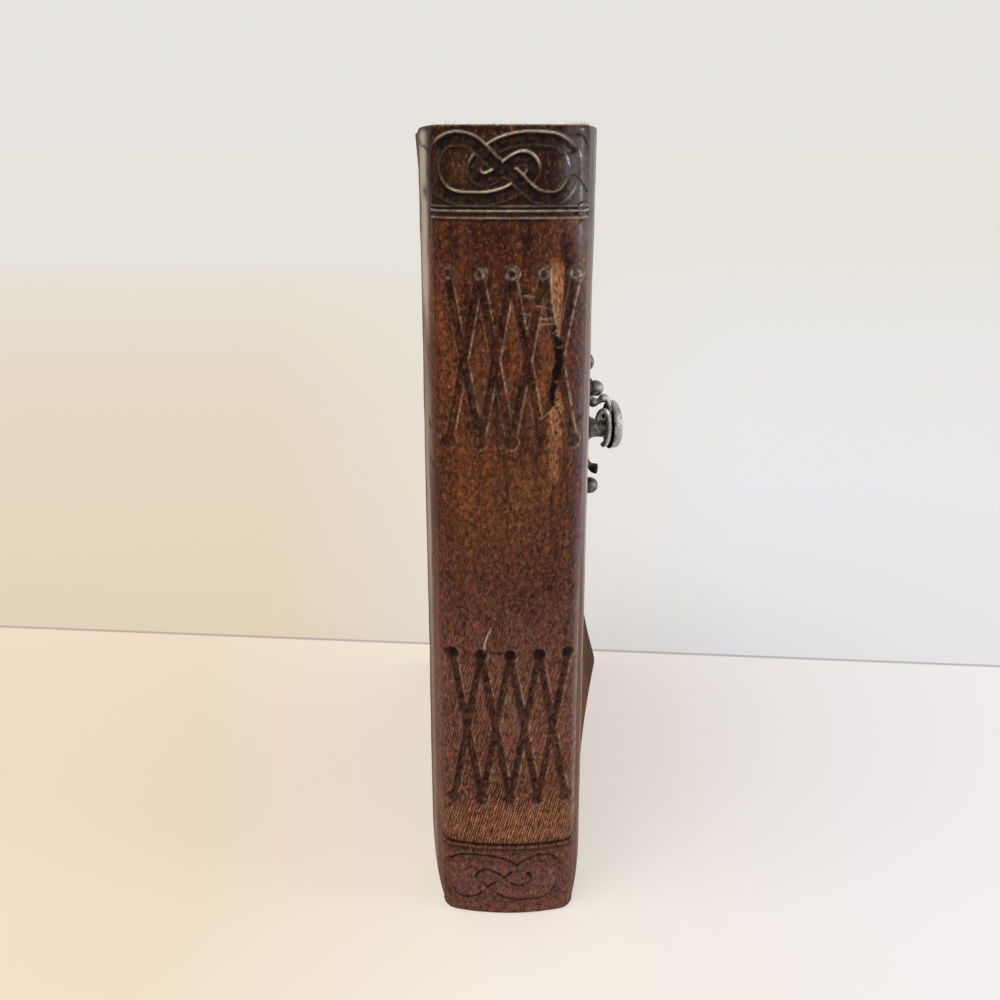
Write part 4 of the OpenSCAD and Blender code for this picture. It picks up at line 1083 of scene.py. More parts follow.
class JOURNAL_OT_covers(bpy.types.Operator):
    """Make the two leather covers, each joined to the spine across its fold"""
    bl_idname = "journal.make_covers"
    bl_label = "Covers"

    def execute(self, context):
        material = leather_material("Cover leather", context.scene.journal_leather)
        self.cover(context, material, "front_wrap", "front_cover", "front", 1.0, FRONT, 41)
        self.cover(context, material, "back_wrap", "back_cover", "back", -1.0, BACK, 51)
        return {"FINISHED"}

    def cover(self, context, material, name, node, body, hand, form, seed):
        """One cover as a thick curved sheet, from the fold to its rounded fore-edge."""
        wrap = context.scene.journal_wrap
        end = EDGE_STEPS[-1]
        z = height_rows(2.0, 0.5, [(0, 5), (COVER_H - 5, COVER_H)])
        start = FOLD_Y - COVER_Y
        share = np.concatenate([np.linspace(0.0, 0.1, 22)[:-1], np.linspace(0.1, 1.0, 66)])[:, None]
        length = COVER_LEN - corner_cut(z)
        s = start + share * (length - end - start)
        s = np.concatenate([s, length - EDGE_STEPS[::-1][1:, None]])
        h = COVER_H - z if form["high"] else z
        face = cover_side(s, form) + cover_curl(s, h, form)
        waves = lattice_noise(s, z, 16.0, seed) + 0.5 * lattice_noise(s, z, 6.0, seed + 1) - 1.0
        away = np.minimum(np.minimum(z, COVER_H - z), length - s)
        thick = edge_rounding(np.minimum(z, COVER_H - z)) * edge_rounding(length - s)
        wave = wrap.wave_height / MM * waves * smoothstep(s, 0.0, 6.0) * smoothstep(away, 0.0, 3.0)
        middle = face - LEATHER_T / 2
        outer = as_points(middle + thick * LEATHER_T / 2 + wave, COVER_Y + s, z)
        inner = as_points(middle - thick * LEATHER_T / 2, COVER_Y + s, z)
        loop = np.concatenate([outer, inner[::-1]])
        loop[..., 0] *= hand
        across = hand * (HALF_ARC + s)
        # Border bands with their painted highlights and shadows, carried on over the cover.
        recess, light, dark, _ = border_lines(hand * (15.5 + 0.65 * s), z)
        inner_edge = smoothstep(away, 0.5, 1.5)
        raw = 1 - smoothstep(away + 0.15 * lattice_noise(s, z, 1.2, seed + 2), 0.04, 0.4)
        edge_x = hand * (15.6 + 0.08 * s)
        rub, stain, gloss, wrinkle, purple, olive = spine_wear(edge_x, z)
        near_spine = 1 - smoothstep(s, 14.0, 34.0)
        rub = rub * near_spine + 0.25
        rub = np.clip(rub + 0.3 * lattice_noise(s, z, 22.0, seed + 3) + 0.3 * bell(away, 3.0), 0, 1)
        stain, wrinkle, purple, olive = (mask * near_spine for mask in (stain, wrinkle, purple, olive))
        stain = np.clip(stain + 0.4 * lattice_noise(s, z, 14.0, seed + 4), 0, 1)
        zero = np.zeros_like(s * z)
        veins = 1 - smoothstep(np.abs(lattice_noise(s * 0.16, z * 0.35, 1.5, seed + 5)), 0.04, 0.16)
        veins = veins * near_spine
        # Painted sheen beside the spine, standing in for grazing reflection; strongest high on the back
        # cover.
        painted_cover_sheen = smoothstep(s, 7.0, 13.0) * (0.3 + 0.4 * bell(z - 95.0, 26.0)) * near_spine
        if form["high"]:
            upper = 0.85 * smoothstep(z, 132.0, 146.0) + 0.35 * bell(z - 118.0, 16.0)
            upper = upper * smoothstep(s, 1.0, 9.0) * (1 - 0.9 * veins) * near_spine
            painted_cover_sheen = np.clip(np.maximum(painted_cover_sheen, upper), 0, 1)
            dark = np.maximum(dark, 0.7 * veins * smoothstep(z, 128.0, 140.0))
        else:
            gloss = np.maximum(gloss, 0.35 * smoothstep(z, 60.0, 110.0))
        carve = np.concatenate([layer(recess * inner_edge, light * inner_edge * (1 - painted_cover_sheen),
                                      dark * inner_edge, raw),
                                layer(zero, zero, zero, zero + 0.7)])
        wear = np.concatenate([layer(rub, stain, gloss, wrinkle), layer(zero)])
        tear = np.concatenate([layer(zero, purple, olive, painted_cover_sheen * inner_edge), layer(zero)])
        flat = np.concatenate([flat_layer(across, z), flat_layer(across, z, INSIDE_AWAY)[::-1]])
        piece = grid_mesh(name, [loop], hide_attributes(flat, carve, wear, tear))
        finish_piece(piece, material, "cover_leather", None, node)
        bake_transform(piece)


# How far each gathering bulges at the fore-edge, and the gap between the pages and a cover.
FORE_BULGE = 0.9
PAGE_GAP = 0.4


class JOURNAL_OT_pages(bpy.types.Operator):
    """Make the sewn gatherings of hand-cut paper"""
    bl_idname = "journal.make_pages"
    bl_label = "Pages"

    def execute(self, context):
        page = context.scene.journal_pages
        low_z, high_z = cad_span("page_block", 2)
        low_y, fore = cad_span("page_block", 1)
        fore -= FORE_BULGE
        inset = LEATHER_T + PAGE_GAP
        depth = fore - COVER_Y
        columns = page.gatherings * page.sheets * 2
        a = (np.arange(columns + 1) / columns)[:, None]
        b = (1 - np.cos(np.linspace(0, math.pi, 44)))[None, :] / 2
        sheet = np.arange(columns + 1)[:, None] // 2
        gather = a * page.gatherings
        in_gather = gather - np.minimum(np.floor(gather), page.gatherings - 1)
        bulge = np.sin(math.pi * in_gather)
        s = b * depth
        spread = smoothstep(s, 0.0, 1.2)
        left = -((cover_side(s, BACK) - inset) * spread + SHOULDER_X * (1 - spread))
        right = (cover_side(s, FRONT) - inset) * spread + SHOULDER_X * (1 - spread)
        x = left + (right - left) * a
        spine_x = -SHOULDER_X + 2 * SHOULDER_X * a
        back_y = low_y + spine_x ** 2 / (2 * CROWN_R) + 0.7 * (1 - bulge)
        uneven = np.random.default_rng(7).random(columns // 2 + 1)[np.minimum(sheet, columns // 2)]
        y = back_y + (fore + FORE_BULGE * bulge - uneven * page.deckle / MM - back_y) * b
        rough = uneven * page.deckle / MM * 0.6
        valley = 0.5 * (1 - bulge) ** 3
        wander = 0.12 * lattice_noise(a * 300, b * 30, 3.0, 61)
        gap = np.broadcast_to((np.arange(columns + 1) % 2 == 0).astype(float)[:, None], x.shape)
        # Painted shade in the valleys between gatherings.
        deep = np.broadcast_to((1 - bulge) ** 6, x.shape)
        top = as_points(x, y, high_z - rough - valley - 0.12 - wander)
        bottom = as_points(x, y, low_z + rough + valley + 0.12 + wander)
        ring = [np.s_[:, 0], np.s_[-1, 1:], np.s_[-2::-1, -1], np.s_[0, -2:0:-1]]
        take = lambda grid: np.concatenate([grid[part] for part in ring])
        t = np.linspace(0, 1, 48)[None, :]
        low, high = take(bottom)[:, None, :], take(top)[:, None, :]
        wall = low + (high - low) * t[..., None]
        on_fore = take(np.broadcast_to(b, x.shape))[:, None]
        slot = take(np.broadcast_to(a, x.shape))[:, None]
        wall[..., 1] -= 0.16 * (1 + lattice_noise(slot * 260, t * 60, 2.0, 62)) * (
            on_fore > 0.999) * np.sin(math.pi * t)
        gap_wall = np.broadcast_to(take(gap)[:, None], wall.shape[:2])
        deep_wall = np.broadcast_to(take(deep)[:, None], wall.shape[:2])
        piece = self.block(top, bottom, wall, (gap, deep), (gap_wall, deep_wall))
        finish_piece(piece, paper_material("Paper", page), "paper", "book", "page_block")
        return {"FINISHED"}

    def block(self, top, bottom, wall, cap_masks, wall_masks):
        """Closes the wall with its two caps into one mesh."""
        caps = [grid_mesh("page_cap", [cap], [("sheets", [layer(*cap_masks)])],
                          wrap_u=False) for cap in (top, bottom)]
        piece = grid_mesh("page_stack", [wall], [("sheets", [layer(*wall_masks)])])
        work = bmesh.new()
        for part in [piece] + caps:
            work.from_mesh(part.data)
        bmesh.ops.remove_doubles(work, verts=work.verts, dist=MERGE_DIST)
        bmesh.ops.recalc_face_normals(work, faces=work.faces)
        work.to_mesh(piece.data)
        work.free()
        for cap in caps:
            discard(cap)
        piece.data.shade_smooth()
        piece.data.set_sharp_from_angle(angle=math.radians(40))
        return piece


# Clasp

CLASP_S = COVER_LEN - 23.0
CLASP_LEAN = math.atan(FRONT["taper"] + FRONT["swell"] / SWELL_RUN * math.exp(-CLASP_S / SWELL_RUN))
# Heights of the plate over the cover, and radius of its two end lobes.
PLATE_TOP = 1.25
PLATE_FOOT = 0.05
LOBE_R = 4.2
UPPER_RIVET = 20.6
LOWER_RIVET = -18.7
PIVOT = 12.5


def on_clasp(points):
    """Points of the clasp, +X out of the cover and +Y to the fore-edge, put in their place."""
    points = np.asarray(points, float)
    c, s = math.cos(CLASP_LEAN), math.sin(CLASP_LEAN)
    x, y, z = np.moveaxis(points, -1, 0)
    return np.stack([cover_side(CLASP_S, FRONT) + c * x + s * y, COVER_Y + CLASP_S - s * x + c * y,
                     CLASP_Z + z],
                    axis=-1)


def turned(profile, center=(0.0, 0.0), around=40):
    """Surface of revolution about +X: each (height, radius) of the profile carried round a circle."""
    profile = np.asarray(profile, float)
    angle = circle_angles(around)[:, None]
    h, r = profile[None, :, 0], profile[None, :, 1]
    return as_points(h, center[0] + r * np.cos(angle), center[1] + r * np.sin(angle))


def rod(path, radii, around=16):
    """A round profile carried along a path, with its own radius and flattening at each point."""
    path = np.asarray(path, float)
    radii = np.asarray(radii, float)
    along = unit(np.gradient(path, axis=0))
    first = np.cross(along, (1.0, 0.0, 0.0))
    length = np.linalg.norm(first, axis=1, keepdims=True)
    first = np.where(length > 1e-6, first / np.maximum(length, 1e-6), (0.0, 1.0, 0.0))
    second = np.cross(along, first)
    angle = circle_angles(around)[:, None, None]
    return (path[None] + radii[None, :, :1] * np.cos(angle) * first[None]
            + radii[None, :, 1:] * np.sin(angle) * second[None])


def round_ends(path, radii, steps=5):
    """Adds rounded ends to a rod: shrinking rows that reach on by one radius at both ends."""
    path, radii = np.asarray(path, float), np.asarray(radii, float)
    turn = np.linspace(0, math.pi / 2, steps + 1)[1:, None]
    start, stop = unit(path[0] - path[1]), unit(path[-1] - path[-2])
    head = path[0] + start * radii[0].min() * np.sin(turn)
    tail = path[-1] + stop * radii[-1].min() * np.sin(turn)
    return (np.concatenate([head[::-1], path, tail]),
            np.concatenate([(radii[0] * np.cos(turn))[::-1], radii, radii[-1] * np.cos(turn)]))


def dome_profile(seat, radius, height, foot=-1.0):
    """Rivet head: an upright edge, then a quarter ellipse to the top."""
    turn = np.linspace(0, math.pi / 2, 10)
    return ([(foot, 0.0), (foot, radius * 0.45), (seat - 0.02, radius * 0.45),
             (seat - 0.02, radius * 0.97)]
            + list(zip(seat + height * np.sin(turn), radius * np.cos(turn))))


def ball_profile(seat, radius, rise, stem=1.2, foot=-1.0):
    """Ball on a stem: an arc of radius round a middle that rises over the seat."""
    middle = seat + rise - 0.55 * (radius - 1.0)
    start = math.acos(max(-1.0, min(1.0, (seat - middle) / radius)))
    turn = np.linspace(start, 0, 16)
    return ([(foot, 0.0), (foot, stem), (seat - 0.05, stem)]
            + list(zip(middle + radius * np.cos(turn), radius * np.sin(turn))))


def plate_grid():
    """Cast plate: at each height a low pillow, as wide as the round lobes and the neck there together."""
    lobes = [(0.0, 7.6), (UPPER_RIVET, LOBE_R), (LOWER_RIVET, LOBE_R), (PIVOT, 3.8)]
    low, high = LOWER_RIVET - LOBE_R, UPPER_RIVET + LOBE_R
    w = low + (high - low) * (1 - np.cos(np.linspace(0, math.pi, 150))) / 2
    widths = [np.sqrt(np.maximum(r ** 2 - (w - c) ** 2, 0.0)) for c, r in lobes]
    neck = 2.3 * ((w > LOWER_RIVET) & (w < UPPER_RIVET))
    half = (sum(width ** 7 for width in widths) + neck ** 7) ** (1 / 7)
    across = np.linspace(-1, 1, 25)[:, None]
    reach = np.sign(across) * np.abs(across) ** 0.8
    rim = np.clip((1 - np.abs(reach)) * half[None, :], 0, None)
    rise = PLATE_FOOT + (PLATE_TOP - PLATE_FOOT) * edge_rounding(rim, 0.7, 2.2)
    rise = rise - 0.3 * smoothstep(rim, 0.75, 1.05) + 0.22 * smoothstep(rim, 1.2, 2.6)
    front = as_points(rise, reach * half[None, :], w[None, :])
    back = as_points(np.full_like(rise, PLATE_FOOT), reach * half[None, :], w[None, :])
    return np.concatenate([front, back[::-1]])


def leaf_grid():
    """Leaf that curls out of the plate's lower neck: a sheet along a curve, wider towards its tip."""
    line = open_path([(0.9, -5.6), (1.2, -7.8), (1.7, -9.8), (2.5, -11.5), (3.7, -12.6), (5.3, -12.8)], 8)
    share = np.linspace(0, 1, len(line))
    half = 1.0 + 2.1 * share ** 1.6
    half = half * np.sqrt(np.clip(1 - ((share - 0.84) / 0.16).clip(0, 1) ** 2.4, 0, 1))
    thick = 0.5 * np.ones_like(share) + 0.55 * smoothstep(share, 0.5, 0.9)
    thick[-1] = 0.0
    across = np.linspace(-1, 1, 13)[:, None]
    roll = 0.7 * (across ** 2) * share[None, :]
    up = unit(np.gradient(line, axis=0))
    normal = np.stack([-up[:, 1], up[:, 0]], axis=-1)
    body = edge_rounding(
        np.clip((1 - np.abs(across)) * np.maximum(half, 0.3)[None, :], 0, None), 0.5, 2.0)

    def face(sign):
        lift = roll + sign * thick[None, :] * body
        return as_points(line[None, :, 0] - normal[None, :, 0] * lift, across * half[None, :],
                         line[None, :, 1] - normal[None, :, 1] * lift)
    return np.concatenate([face(1.0), face(-1.0)[::-1]])


class JOURNAL_OT_clasp(bpy.types.Operator):
    """Make the plate, rivets, stud, pivot and swing hook of the clasp"""
    bl_idname = "journal.make_clasp"
    bl_label = "Clasp"

    def execute(self, context):
        colors = context.scene.journal_metal
        dark = metal_material("Antique metal", colors, 0.35)
        light = metal_material("Stud metal", colors, 0.9)
        plate_shape, leaf_shape = plate_grid(), leaf_grid()
        inside = np.full(leaf_shape.shape[:2], 0.5)
        # The curled tip of the leaf gets painted shade on top of the patina.
        inside[:, -14:] = 0.9
        plate = grid_mesh("plate_cast", [on_clasp(plate_shape), on_clasp(leaf_shape)], [
            ("patina", [layer(np.full(plate_shape.shape[:2], 0.25)), layer(inside)])], sharp=50)
        finish_piece(plate, dark, "antique_metal", "front", "clasp_plate")
        self.stud(light)
        for name, node, at, profile, material, slot in (
                ("rivet_domed_upper", "plate_rivet_upper", UPPER_RIVET,
                 dome_profile(PLATE_TOP, 2.6, 1.9), dark, "antique_metal"),
                ("rivet_domed_lower", "plate_rivet_lower", LOWER_RIVET,
                 ball_profile(PLATE_TOP, 2.6, 2.45), dark, "stud_metal")):
            shape = turned(profile, (0.0, at))
            # Patina and painted shade at the foot of each rivet.
            foot = layer(1 - smoothstep(shape[..., 0], PLATE_TOP + 0.1, PLATE_TOP + 1.1))
            piece = grid_mesh(name, [on_clasp(shape)], [("patina", [foot])], sharp=60)
            finish_piece(piece, material, slot, "front", node)
        low, high = cad_span("hook_pivot", 2)
        shape = turned(ball_profile(2.6, (high - low) / 2, 2.0, 1.2, 0.1), (0.0, PIVOT))
        # Patina and painted shade at the foot of the pivot ball.
        piece = grid_mesh("pivot_ball", [on_clasp(shape)], [
            ("patina", [layer(1 - smoothstep(shape[..., 0], 2.6, 3.6))])], sharp=60)
        finish_piece(piece, light, "stud_metal", "front", "hook_pivot")
        shapes = self.hook()
        # The hub is patinated; the lever gets painted shade below its upper knob and a rubbed top; the
        # claw is rubbed bright with a painted highlight.
        masks = [layer(np.full(shapes[0].shape[:2], 0.5)),
                 layer(0.6 * bell(shapes[1][..., 2] - 7.4, 0.8),
                       0.5 * smoothstep(shapes[1][..., 2], 8.4, 9.6)),
                 layer(np.zeros(shapes[2].shape[:2]),
                       0.35 + 0.6 * smoothstep(shapes[2][..., 0], 6.4, 8.2))]
        piece = grid_mesh("hook_cast", [on_clasp(g) for g in shapes], [("patina", masks)], sharp=60)
        finish_piece(piece, light, "stud_metal", "hook", "swing_hook")
        for node in ("stud_burr", "plate_burr_upper", "plate_burr_lower"):
            assign(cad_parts[node], dark)
        return {"FINISHED"}

    def stud(self, metal):
        """Post with a dished head, which is bent a little to the spine's side."""
        neck, head = 3.0, 7.4
        profile = np.array([(-2.0, 0.0), (-2.0, 1.9), (PLATE_TOP - 0.3, 1.9),
                            (PLATE_TOP - 0.3, neck + 1.5), (PLATE_TOP + 0.4, neck + 1.4),
                            (PLATE_TOP + 1.2, neck + 0.5), (PLATE_TOP + 2.6, neck - 0.1),
                            (5.8, neck - 0.15), (7.0, neck), (8.2, neck + 0.5), (9.0, neck + 1.6),
                            (9.1, neck + 3.0), (8.6, head - 0.7), (8.15, head - 0.35), (8.1, head - 0.1),
                            (8.4, head + 0.02), (9.3, head + 0.05), (10.1, head - 0.1),
                            (10.45, head - 0.6), (10.75, head - 2.2), (10.95, head - 4.6), (11.0, 1.2),
                            (11.0, 0.0)])
        outline = open_path(profile, 4)
        shape = turned(outline, around=72)
        place = np.linspace(0, len(profile) - 1, len(outline))
        # Painted shade on the inner face of the head, with black patina.
        hollow = smoothstep(place, 7.6, 9.0) * (1 - smoothstep(place, 13.2, 14.2))
        # Painted shade at the root of the neck.
        root = 0.6 * bell(place - 4.5, 1.0)
        mask = np.broadcast_to(np.maximum(hollow, root)[None, :], shape.shape[:2])
        # A rubbed rim with a painted highlight.
        rim = np.broadcast_to(smoothstep(place, 14.0, 15.5) * (1 - smoothstep(place, 17.5, 18.5)) * 0.3,
                              mask.shape)
        lean = math.radians(17)
        share = smoothstep(shape[..., 0], 6.4, 8.8)
        h, y = shape[..., 0] - 9.2, shape[..., 1]
        shape[..., 0] = shape[..., 0] + share * (h * (math.cos(lean) - 1) - y * math.sin(lean) - 0.2)
        shape[..., 1] = y + share * (y * (math.cos(lean) - 1) + h * math.sin(lean))
        shape[..., 2] += 1.3 * share
        piece = grid_mesh("stud_turned", [on_clasp(shape)], [("patina", [layer(mask, rim)])], sharp=60)
        finish_piece(piece, metal, "stud_metal", "front", "clasp_stud")

    def hook(self):
        """Hub ring, knobbed lever and claw of the swing hook, each a closed grid."""
        hub = turned([(1.4, 1.27), (1.4, 2.6), (1.6, 3.0), (2.5, 3.0), (2.72, 2.6), (2.72, 1.27),
                      (1.4, 1.27)], (0.0, PIVOT), 36)
        lever = open_path([(2.2, -1.7, 9.9), (3.2, -2.2, 8.6), (4.6, -2.4, 8.9), (6.3, -2.6, 10.0),
                           (7.6, -3.3, 9.0), (8.1, -4.1, 6.6), (8.3, -4.5, 4.6)], 7)
        t = np.linspace(0, 1, len(lever))
        girth = 0.85 + 0.75 * bell(t - 0.17, 0.09) + 0.65 * bell(t - 0.5, 0.09) - 0.1 * t
        arm = rod(*round_ends(lever, np.stack([girth, girth], axis=1)), around=20)
        curl = open_path([(4.7, -3.3, 3.8), (5.2, -3.9, 5.5), (6.6, -4.2, 6.4), (7.9, -4.3, 5.0),
                          (8.4, -4.6, 2.0), (8.2, -4.8, -1.0), (7.4, -4.2, -3.4), (6.8, -2.8, -4.6),
                          (6.5, -0.8, -5.1)], 7)
        t = np.linspace(0, 1, len(curl))
        size = 0.75 + 0.35 * np.sin(math.pi * t) + 0.15 * bell(t, 0.05)
        claw = rod(*round_ends(curl, np.stack([size, size], axis=1)), around=20)
        return hub, arm, claw


def assign(node, material):
    """Gives a CAD node's object a material."""
    if not node.material_slots:
        node.data.materials.append(material)
    for item in node.material_slots:
        item.material = material


# Strap

STRAP_W = 24.0
STRAP_T = 2.2
STRAP_ROOT = 6.0
STRAP_BEND = 3.0
STRAP_TURN_X = 18.0
STRAP_TURN_R = STRAP_T / 2 + 0.5
RING_X = -3.0
RING_HOLE = 8.0
RING_FLANGE = 2.6
RING_PLAY = 0.65
STRAP_LAP_Y = FORE_Y + STRAP_BEND + 2 * STRAP_TURN_R


def strap_line():
    """Middle line of the strap: out of the back cover, round the fore-edge and back on itself."""
    s = COVER_LEN - STRAP_ROOT * (1 - np.arange(6) / 6)
    along = np.stack([LEATHER_T / 2 - cover_side(s, BACK), COVER_Y + s], axis=1)
    edge = LEATHER_T / 2 - cover_side(COVER_LEN, BACK)
    turn = np.radians(np.arange(0, 91, 10))
    round_edge = np.stack([edge + STRAP_BEND * (1 - np.cos(turn)), FORE_Y + STRAP_BEND * np.sin(turn)],
                          axis=1)
    back = np.radians(np.arange(0, 181, 12))
    hairpin = np.stack([STRAP_TURN_X + STRAP_TURN_R * np.sin(back),
                        FORE_Y + STRAP_BEND + STRAP_TURN_R * (1 - np.cos(back))], axis=1)
    run = np.linspace(round_edge[-1], hairpin[0], 24)[1:-1]
    lap = np.linspace(hairpin[-1], (RING_X - STRAP_W / 2, STRAP_LAP_Y), 40)[1:]
    return np.concatenate([along, round_edge, run, hairpin, lap])


class JOURNAL_OT_strap(bpy.types.Operator):
    """Make the closing strap and its ring"""
    bl_idname = "journal.make_strap"
    bl_label = "Strap"

    def execute(self, context):
        material = bpy.data.materials["Cover leather"]
        line = strap_line()
        along = unit(np.gradient(line, axis=0))
        normal = np.stack([-along[:, 1], along[:, 0]], axis=1)
        reach = np.concatenate([[0.0], np.cumsum(np.linalg.norm(np.diff(line, axis=0), axis=1))])
        tail = np.hypot(line[:, 0] - RING_X, line[:, 1] - STRAP_LAP_Y) * (line[:, 0] < RING_X) * (
            np.abs(line[:, 1] - STRAP_LAP_Y) < 0.01)
        half = np.sqrt(np.maximum((STRAP_W / 2) ** 2 - tail ** 2, 0.0))
        across = np.linspace(-1, 1, 29)[:, None]
        place = np.sign(across) * np.abs(across) ** 0.85
        to_edge = np.minimum((1 - np.abs(place)) * half[None, :], reach[None, :])
        thick = edge_rounding(to_edge, 0.7, 2.4)

        def face(sign):
            lift = sign * thick * STRAP_T / 2
            return as_points(line[None, :, 0] + normal[None, :, 0] * lift,
                             line[None, :, 1] + normal[None, :, 1] * lift,
                             CLASP_Z + place * half[None, :])
        grid = np.concatenate([face(1.0), face(-1.0)[::-1]])
        raw = 1 - smoothstep(to_edge, 0.1, 0.7)
        groove = bell(to_edge - 2.0, 0.3)
        zero = np.zeros_like(raw)
        carve = np.concatenate([layer(groove, zero, 0.4 * groove, 0.8 * raw)] * 2)
        wear = np.concatenate([layer(0.35 + 0.3 * lattice_noise(reach[None, :], place * 12, 6.0, 71),
                                     zero, zero + 0.5, zero)] * 2)
        height = CLASP_Z + place * half[None, :]
        flat = np.concatenate([flat_layer(reach[None, :], height),
                               flat_layer(reach[None, :], height, INSIDE_AWAY)[::-1]])
        piece = grid_mesh("strap_wrap", [grid], hide_attributes(flat, carve, wear, np.zeros_like(wear)))
        self.cut_eye(piece)
        finish_piece(piece, material, "cover_leather", "back", "back_cover")
        self.ring(bpy.data.materials["Antique metal"])
        return {"FINISHED"}

    def cut_eye(self, piece):
        """Cuts the hole for the ring through the folded-back end."""
        angle = circle_angles(48)
        y = np.array([STRAP_LAP_Y - STRAP_TURN_R + 0.25, STRAP_LAP_Y + 3.0])[None, :]
        r = RING_HOLE + RING_PLAY
        grid = as_points((RING_X + r * np.cos(angle))[:, None], y, (CLASP_Z + r * np.sin(angle))[:, None])
        middle = np.broadcast_to(np.array([RING_X, 0, CLASP_Z]), grid.shape[:1] + (3,)).copy()
        ends = []
        for k in (0, 1):
            cap = middle.copy()
            cap[:, 1] = y[0, k]
            ends.append(cap[:, None, :])
        cutter = grid_mesh("eye_cutter", [np.concatenate([ends[0], grid, ends[1]], axis=1)])
        cut = piece.modifiers.new("Eye", "BOOLEAN")
        cut.object = cutter
        cut.solver = "EXACT"
        depsgraph = bpy.context.evaluated_depsgraph_get()
        result = bpy.data.meshes.new_from_object(piece.evaluated_get(depsgraph))
        piece.modifiers.clear()
        piece.data = result
        discard(cutter)
        piece.data.materials.clear()

    def ring(self, metal):
        """Eyelet ring: one closed profile of depth and radius carried round the strap's hole."""
        face = STRAP_LAP_Y + STRAP_T / 2
        low, high = cad_span("strap_ring", 1)
        outer = RING_HOLE + RING_FLANGE
        profile = np.array([(low, RING_HOLE + 0.55), (low, RING_HOLE + 0.1), (low + 0.2, RING_HOLE),
                            (high - 0.6, RING_HOLE), (high - 0.15, RING_HOLE + 0.35),
                            (high, RING_HOLE + 1.1), (high - 0.15, RING_HOLE + 1.9),
                            (face + 0.4, outer), (face + 0.06, outer - 0.1),
                            (face + 0.05, RING_HOLE + 0.6), (low, RING_HOLE + 0.55)])
        angle = circle_angles(64)[:, None]
        grid = as_points(RING_X + profile[None, :, 1] * np.cos(angle), profile[None, :, 0],
                         CLASP_Z + profile[None, :, 1] * np.sin(angle))
        piece = grid_mesh("ring_turned", [grid], sharp=50)
        finish_piece(piece, metal, "antique_metal", "back", "strap_ring")


# Stage

# Place of the camera in metres, fitted to the journal's corners in the photo.
CAMERA_AT = (-0.00191, -0.2150, 0.1740)
FLOOR_REACH = 60.0


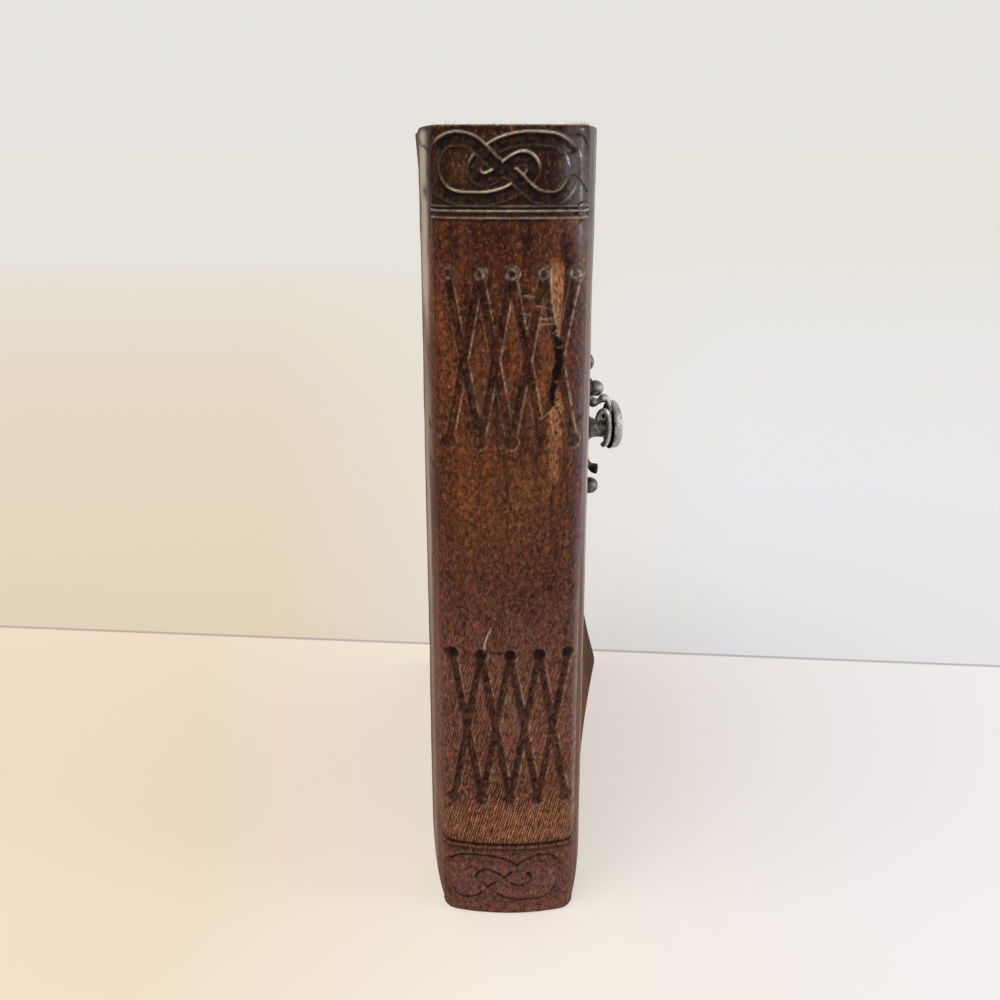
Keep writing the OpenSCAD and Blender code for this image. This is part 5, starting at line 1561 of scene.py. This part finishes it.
class JOURNAL_OT_stage(bpy.types.Operator):
    """Make the floor, lamps and camera"""
    bl_idname = "journal.make_stage"
    bl_label = "Stage"

    def execute(self, context):
        stage = context.scene.journal_stage
        self.floor(stage)
        self.light(context, stage)
        camera = bpy.data.objects.new("Camera", bpy.data.cameras.new("Camera"))
        context.scene.collection.objects.link(camera)
        camera.data.lens = stage.lens
        camera.data.sensor_width = 36.0
        camera.location = CAMERA_AT
        camera.rotation_euler = (math.pi / 2 - stage.camera_tilt, 0, 0)
        camera.data.clip_start = 0.01
        context.scene.camera = camera
        context.scene.view_settings.view_transform = "Standard"
        return {"FINISHED"}

    def floor(self, stage):
        """Pale floor, warm on the left, cool on the right, with the edge of the table behind."""
        corners = [(FLOOR_REACH * x, FLOOR_REACH * y, 0) for x, y in ((-1, -1), (1, -1), (1, 1), (-1, 1))]
        mesh = bpy.data.meshes.new("floor")
        mesh.from_pydata(corners, [], [(0, 1, 2, 3)])
        floor = bpy.data.objects.new("floor", mesh)
        bpy.context.scene.collection.objects.link(floor)
        tree, shader, material = base_material("Floor", {"Roughness": 0.8, "Specular IOR Level": 0.1})
        where = tree.node("ShaderNodeTexCoord").outputs["Object"]
        split = tree.node("ShaderNodeSeparateXYZ")
        tree.feed(split.inputs[0], where)
        across, depth = split.outputs[0], split.outputs[1]
        spread = tree.plus(tree.math("ABSOLUTE", depth), 0.3)
        side = tree.math("DIVIDE", across, spread)
        # The warm left and cool right sides are a painted tint of the warm light on the left and the cool
        # light on the right.
        table = tree.mix(tree.ramp(side, -0.25, 0.0), stage.floor_left, stage.floor_middle)
        table = tree.mix(tree.ramp(side, 0.05, 0.3), table, stage.floor_right)
        wall = tree.mix(tree.ramp(side, -0.2, 0.2), stage.wall_left, stage.wall_right)
        wall = tree.mix(tree.ramp(depth, 0.2, 1.6), wall, stage.far_color)
        behind = tree.math("SUBTRACT", depth, tree.times(across, stage.edge_slant))
        behind = tree.math("SUBTRACT", behind, stage.table_edge)
        color = tree.mix(tree.ramp(behind, -0.0005, 0.0005), table, wall)
        edge = tree.math("SUBTRACT", 1.0, tree.times(tree.math("ABSOLUTE", behind), 750.0), True)
        color = tree.mix(tree.times(edge, 0.75), color, stage.line_color)
        tree.feed(shader.inputs["Base Color"], color)
        path = tree.node("ShaderNodeLightPath").outputs
        shown = tree.math("MAXIMUM", path["Is Camera Ray"], path["Is Glossy Ray"])
        own = tree.node("ShaderNodeEmission")
        tree.feed(own.inputs["Color"], color)
        both = tree.node("ShaderNodeMixShader")
        tree.feed(both.inputs[0], tree.times(shown, stage.own_share))
        tree.feed(both.inputs[1], shader.outputs[0])
        tree.feed(both.inputs[2], own.outputs[0])
        tree.feed(material.node_tree.nodes["Material Output"].inputs["Surface"], both.outputs[0])
        mesh.materials.append(material)

    def light(self, context, stage):
        """Even world, warm key light on the left and cool light low on the right."""
        world = bpy.data.worlds.new("World")
        world.use_nodes = True
        context.scene.world = world
        tree = Tree(world.node_tree)
        background = world.node_tree.nodes["Background"]
        path = tree.node("ShaderNodeLightPath")
        shown = tree.math("MAXIMUM", path.outputs["Is Camera Ray"], path.outputs["Is Glossy Ray"])
        shown = tree.math("MAXIMUM", shown, path.outputs["Is Transmission Ray"])
        tree.feed(background.inputs["Color"], stage.sky_color)
        tree.feed(background.inputs["Strength"], tree.ramp(shown, 0.0, 1.0, stage.world_strength, 1.0))
        self.lamp("key", (-0.62, -0.55, 0.80), 60, stage.key_strength, (1.0, 0.95, 0.87))
        self.lamp("window", (1.0, -0.22, 0.22), 24, stage.window_strength, (0.82, 0.90, 1.0))

    def lamp(self, name, place, angle, strength, color):
        """A wide, distant light that shines from a place to the middle of the journal's foot."""
        data = bpy.data.lights.new(name, "SUN")
        data.angle = math.radians(angle)
        data.energy = strength
        data.color = color
        lamp = bpy.data.objects.new(name, data)
        lamp.location = place
        lamp.rotation_euler = Vector(place).to_track_quat("Z", "Y").to_euler()
        bpy.context.scene.collection.objects.link(lamp)


class JOURNAL_PT_panel(bpy.types.Panel):
    """Sidebar panel with the pieces and their settings"""
    bl_label = "Journal"
    bl_idname = "JOURNAL_PT_panel"
    bl_space_type = "VIEW_3D"
    bl_region_type = "UI"
    bl_category = "Journal"

    def draw(self, context):
        for label, group in SETTINGS.items():
            box = self.layout.box()
            box.label(text=label.replace("journal_", "").capitalize())
            values = getattr(context.scene, label)
            for key in group.__annotations__:
                box.prop(values, key)
        for operator in OPERATORS:
            self.layout.operator(operator.bl_idname)


SETTINGS = {"journal_wrap": JournalWrapSettings, "journal_leather": JournalLeatherSettings,
            "journal_pages": JournalPageSettings, "journal_metal": JournalMetalSettings,
            "journal_stage": JournalStageSettings}
OPERATORS = (JOURNAL_OT_spine, JOURNAL_OT_covers, JOURNAL_OT_pages, JOURNAL_OT_clasp, JOURNAL_OT_strap,
             JOURNAL_OT_stage)


def register():
    """Adds the classes and their settings."""
    for item in (*SETTINGS.values(), *OPERATORS, JOURNAL_PT_panel):
        bpy.utils.register_class(item)
    for label, group in SETTINGS.items():
        setattr(bpy.types.Scene, label, bpy.props.PointerProperty(type=group))


def unregister():
    """Takes the settings and classes away again."""
    for label in SETTINGS:
        delattr(bpy.types.Scene, label)
    for item in reversed((*SETTINGS.values(), *OPERATORS, JOURNAL_PT_panel)):
        bpy.utils.unregister_class(item)


def main():
    """Makes the pieces in order."""
    register()
    bpy.ops.journal.make_spine()
    bpy.ops.journal.make_covers()
    bpy.ops.journal.make_pages()
    bpy.ops.journal.make_clasp()
    bpy.ops.journal.make_strap()
    bpy.ops.journal.make_stage()


if __name__ == "__main__":
    main()
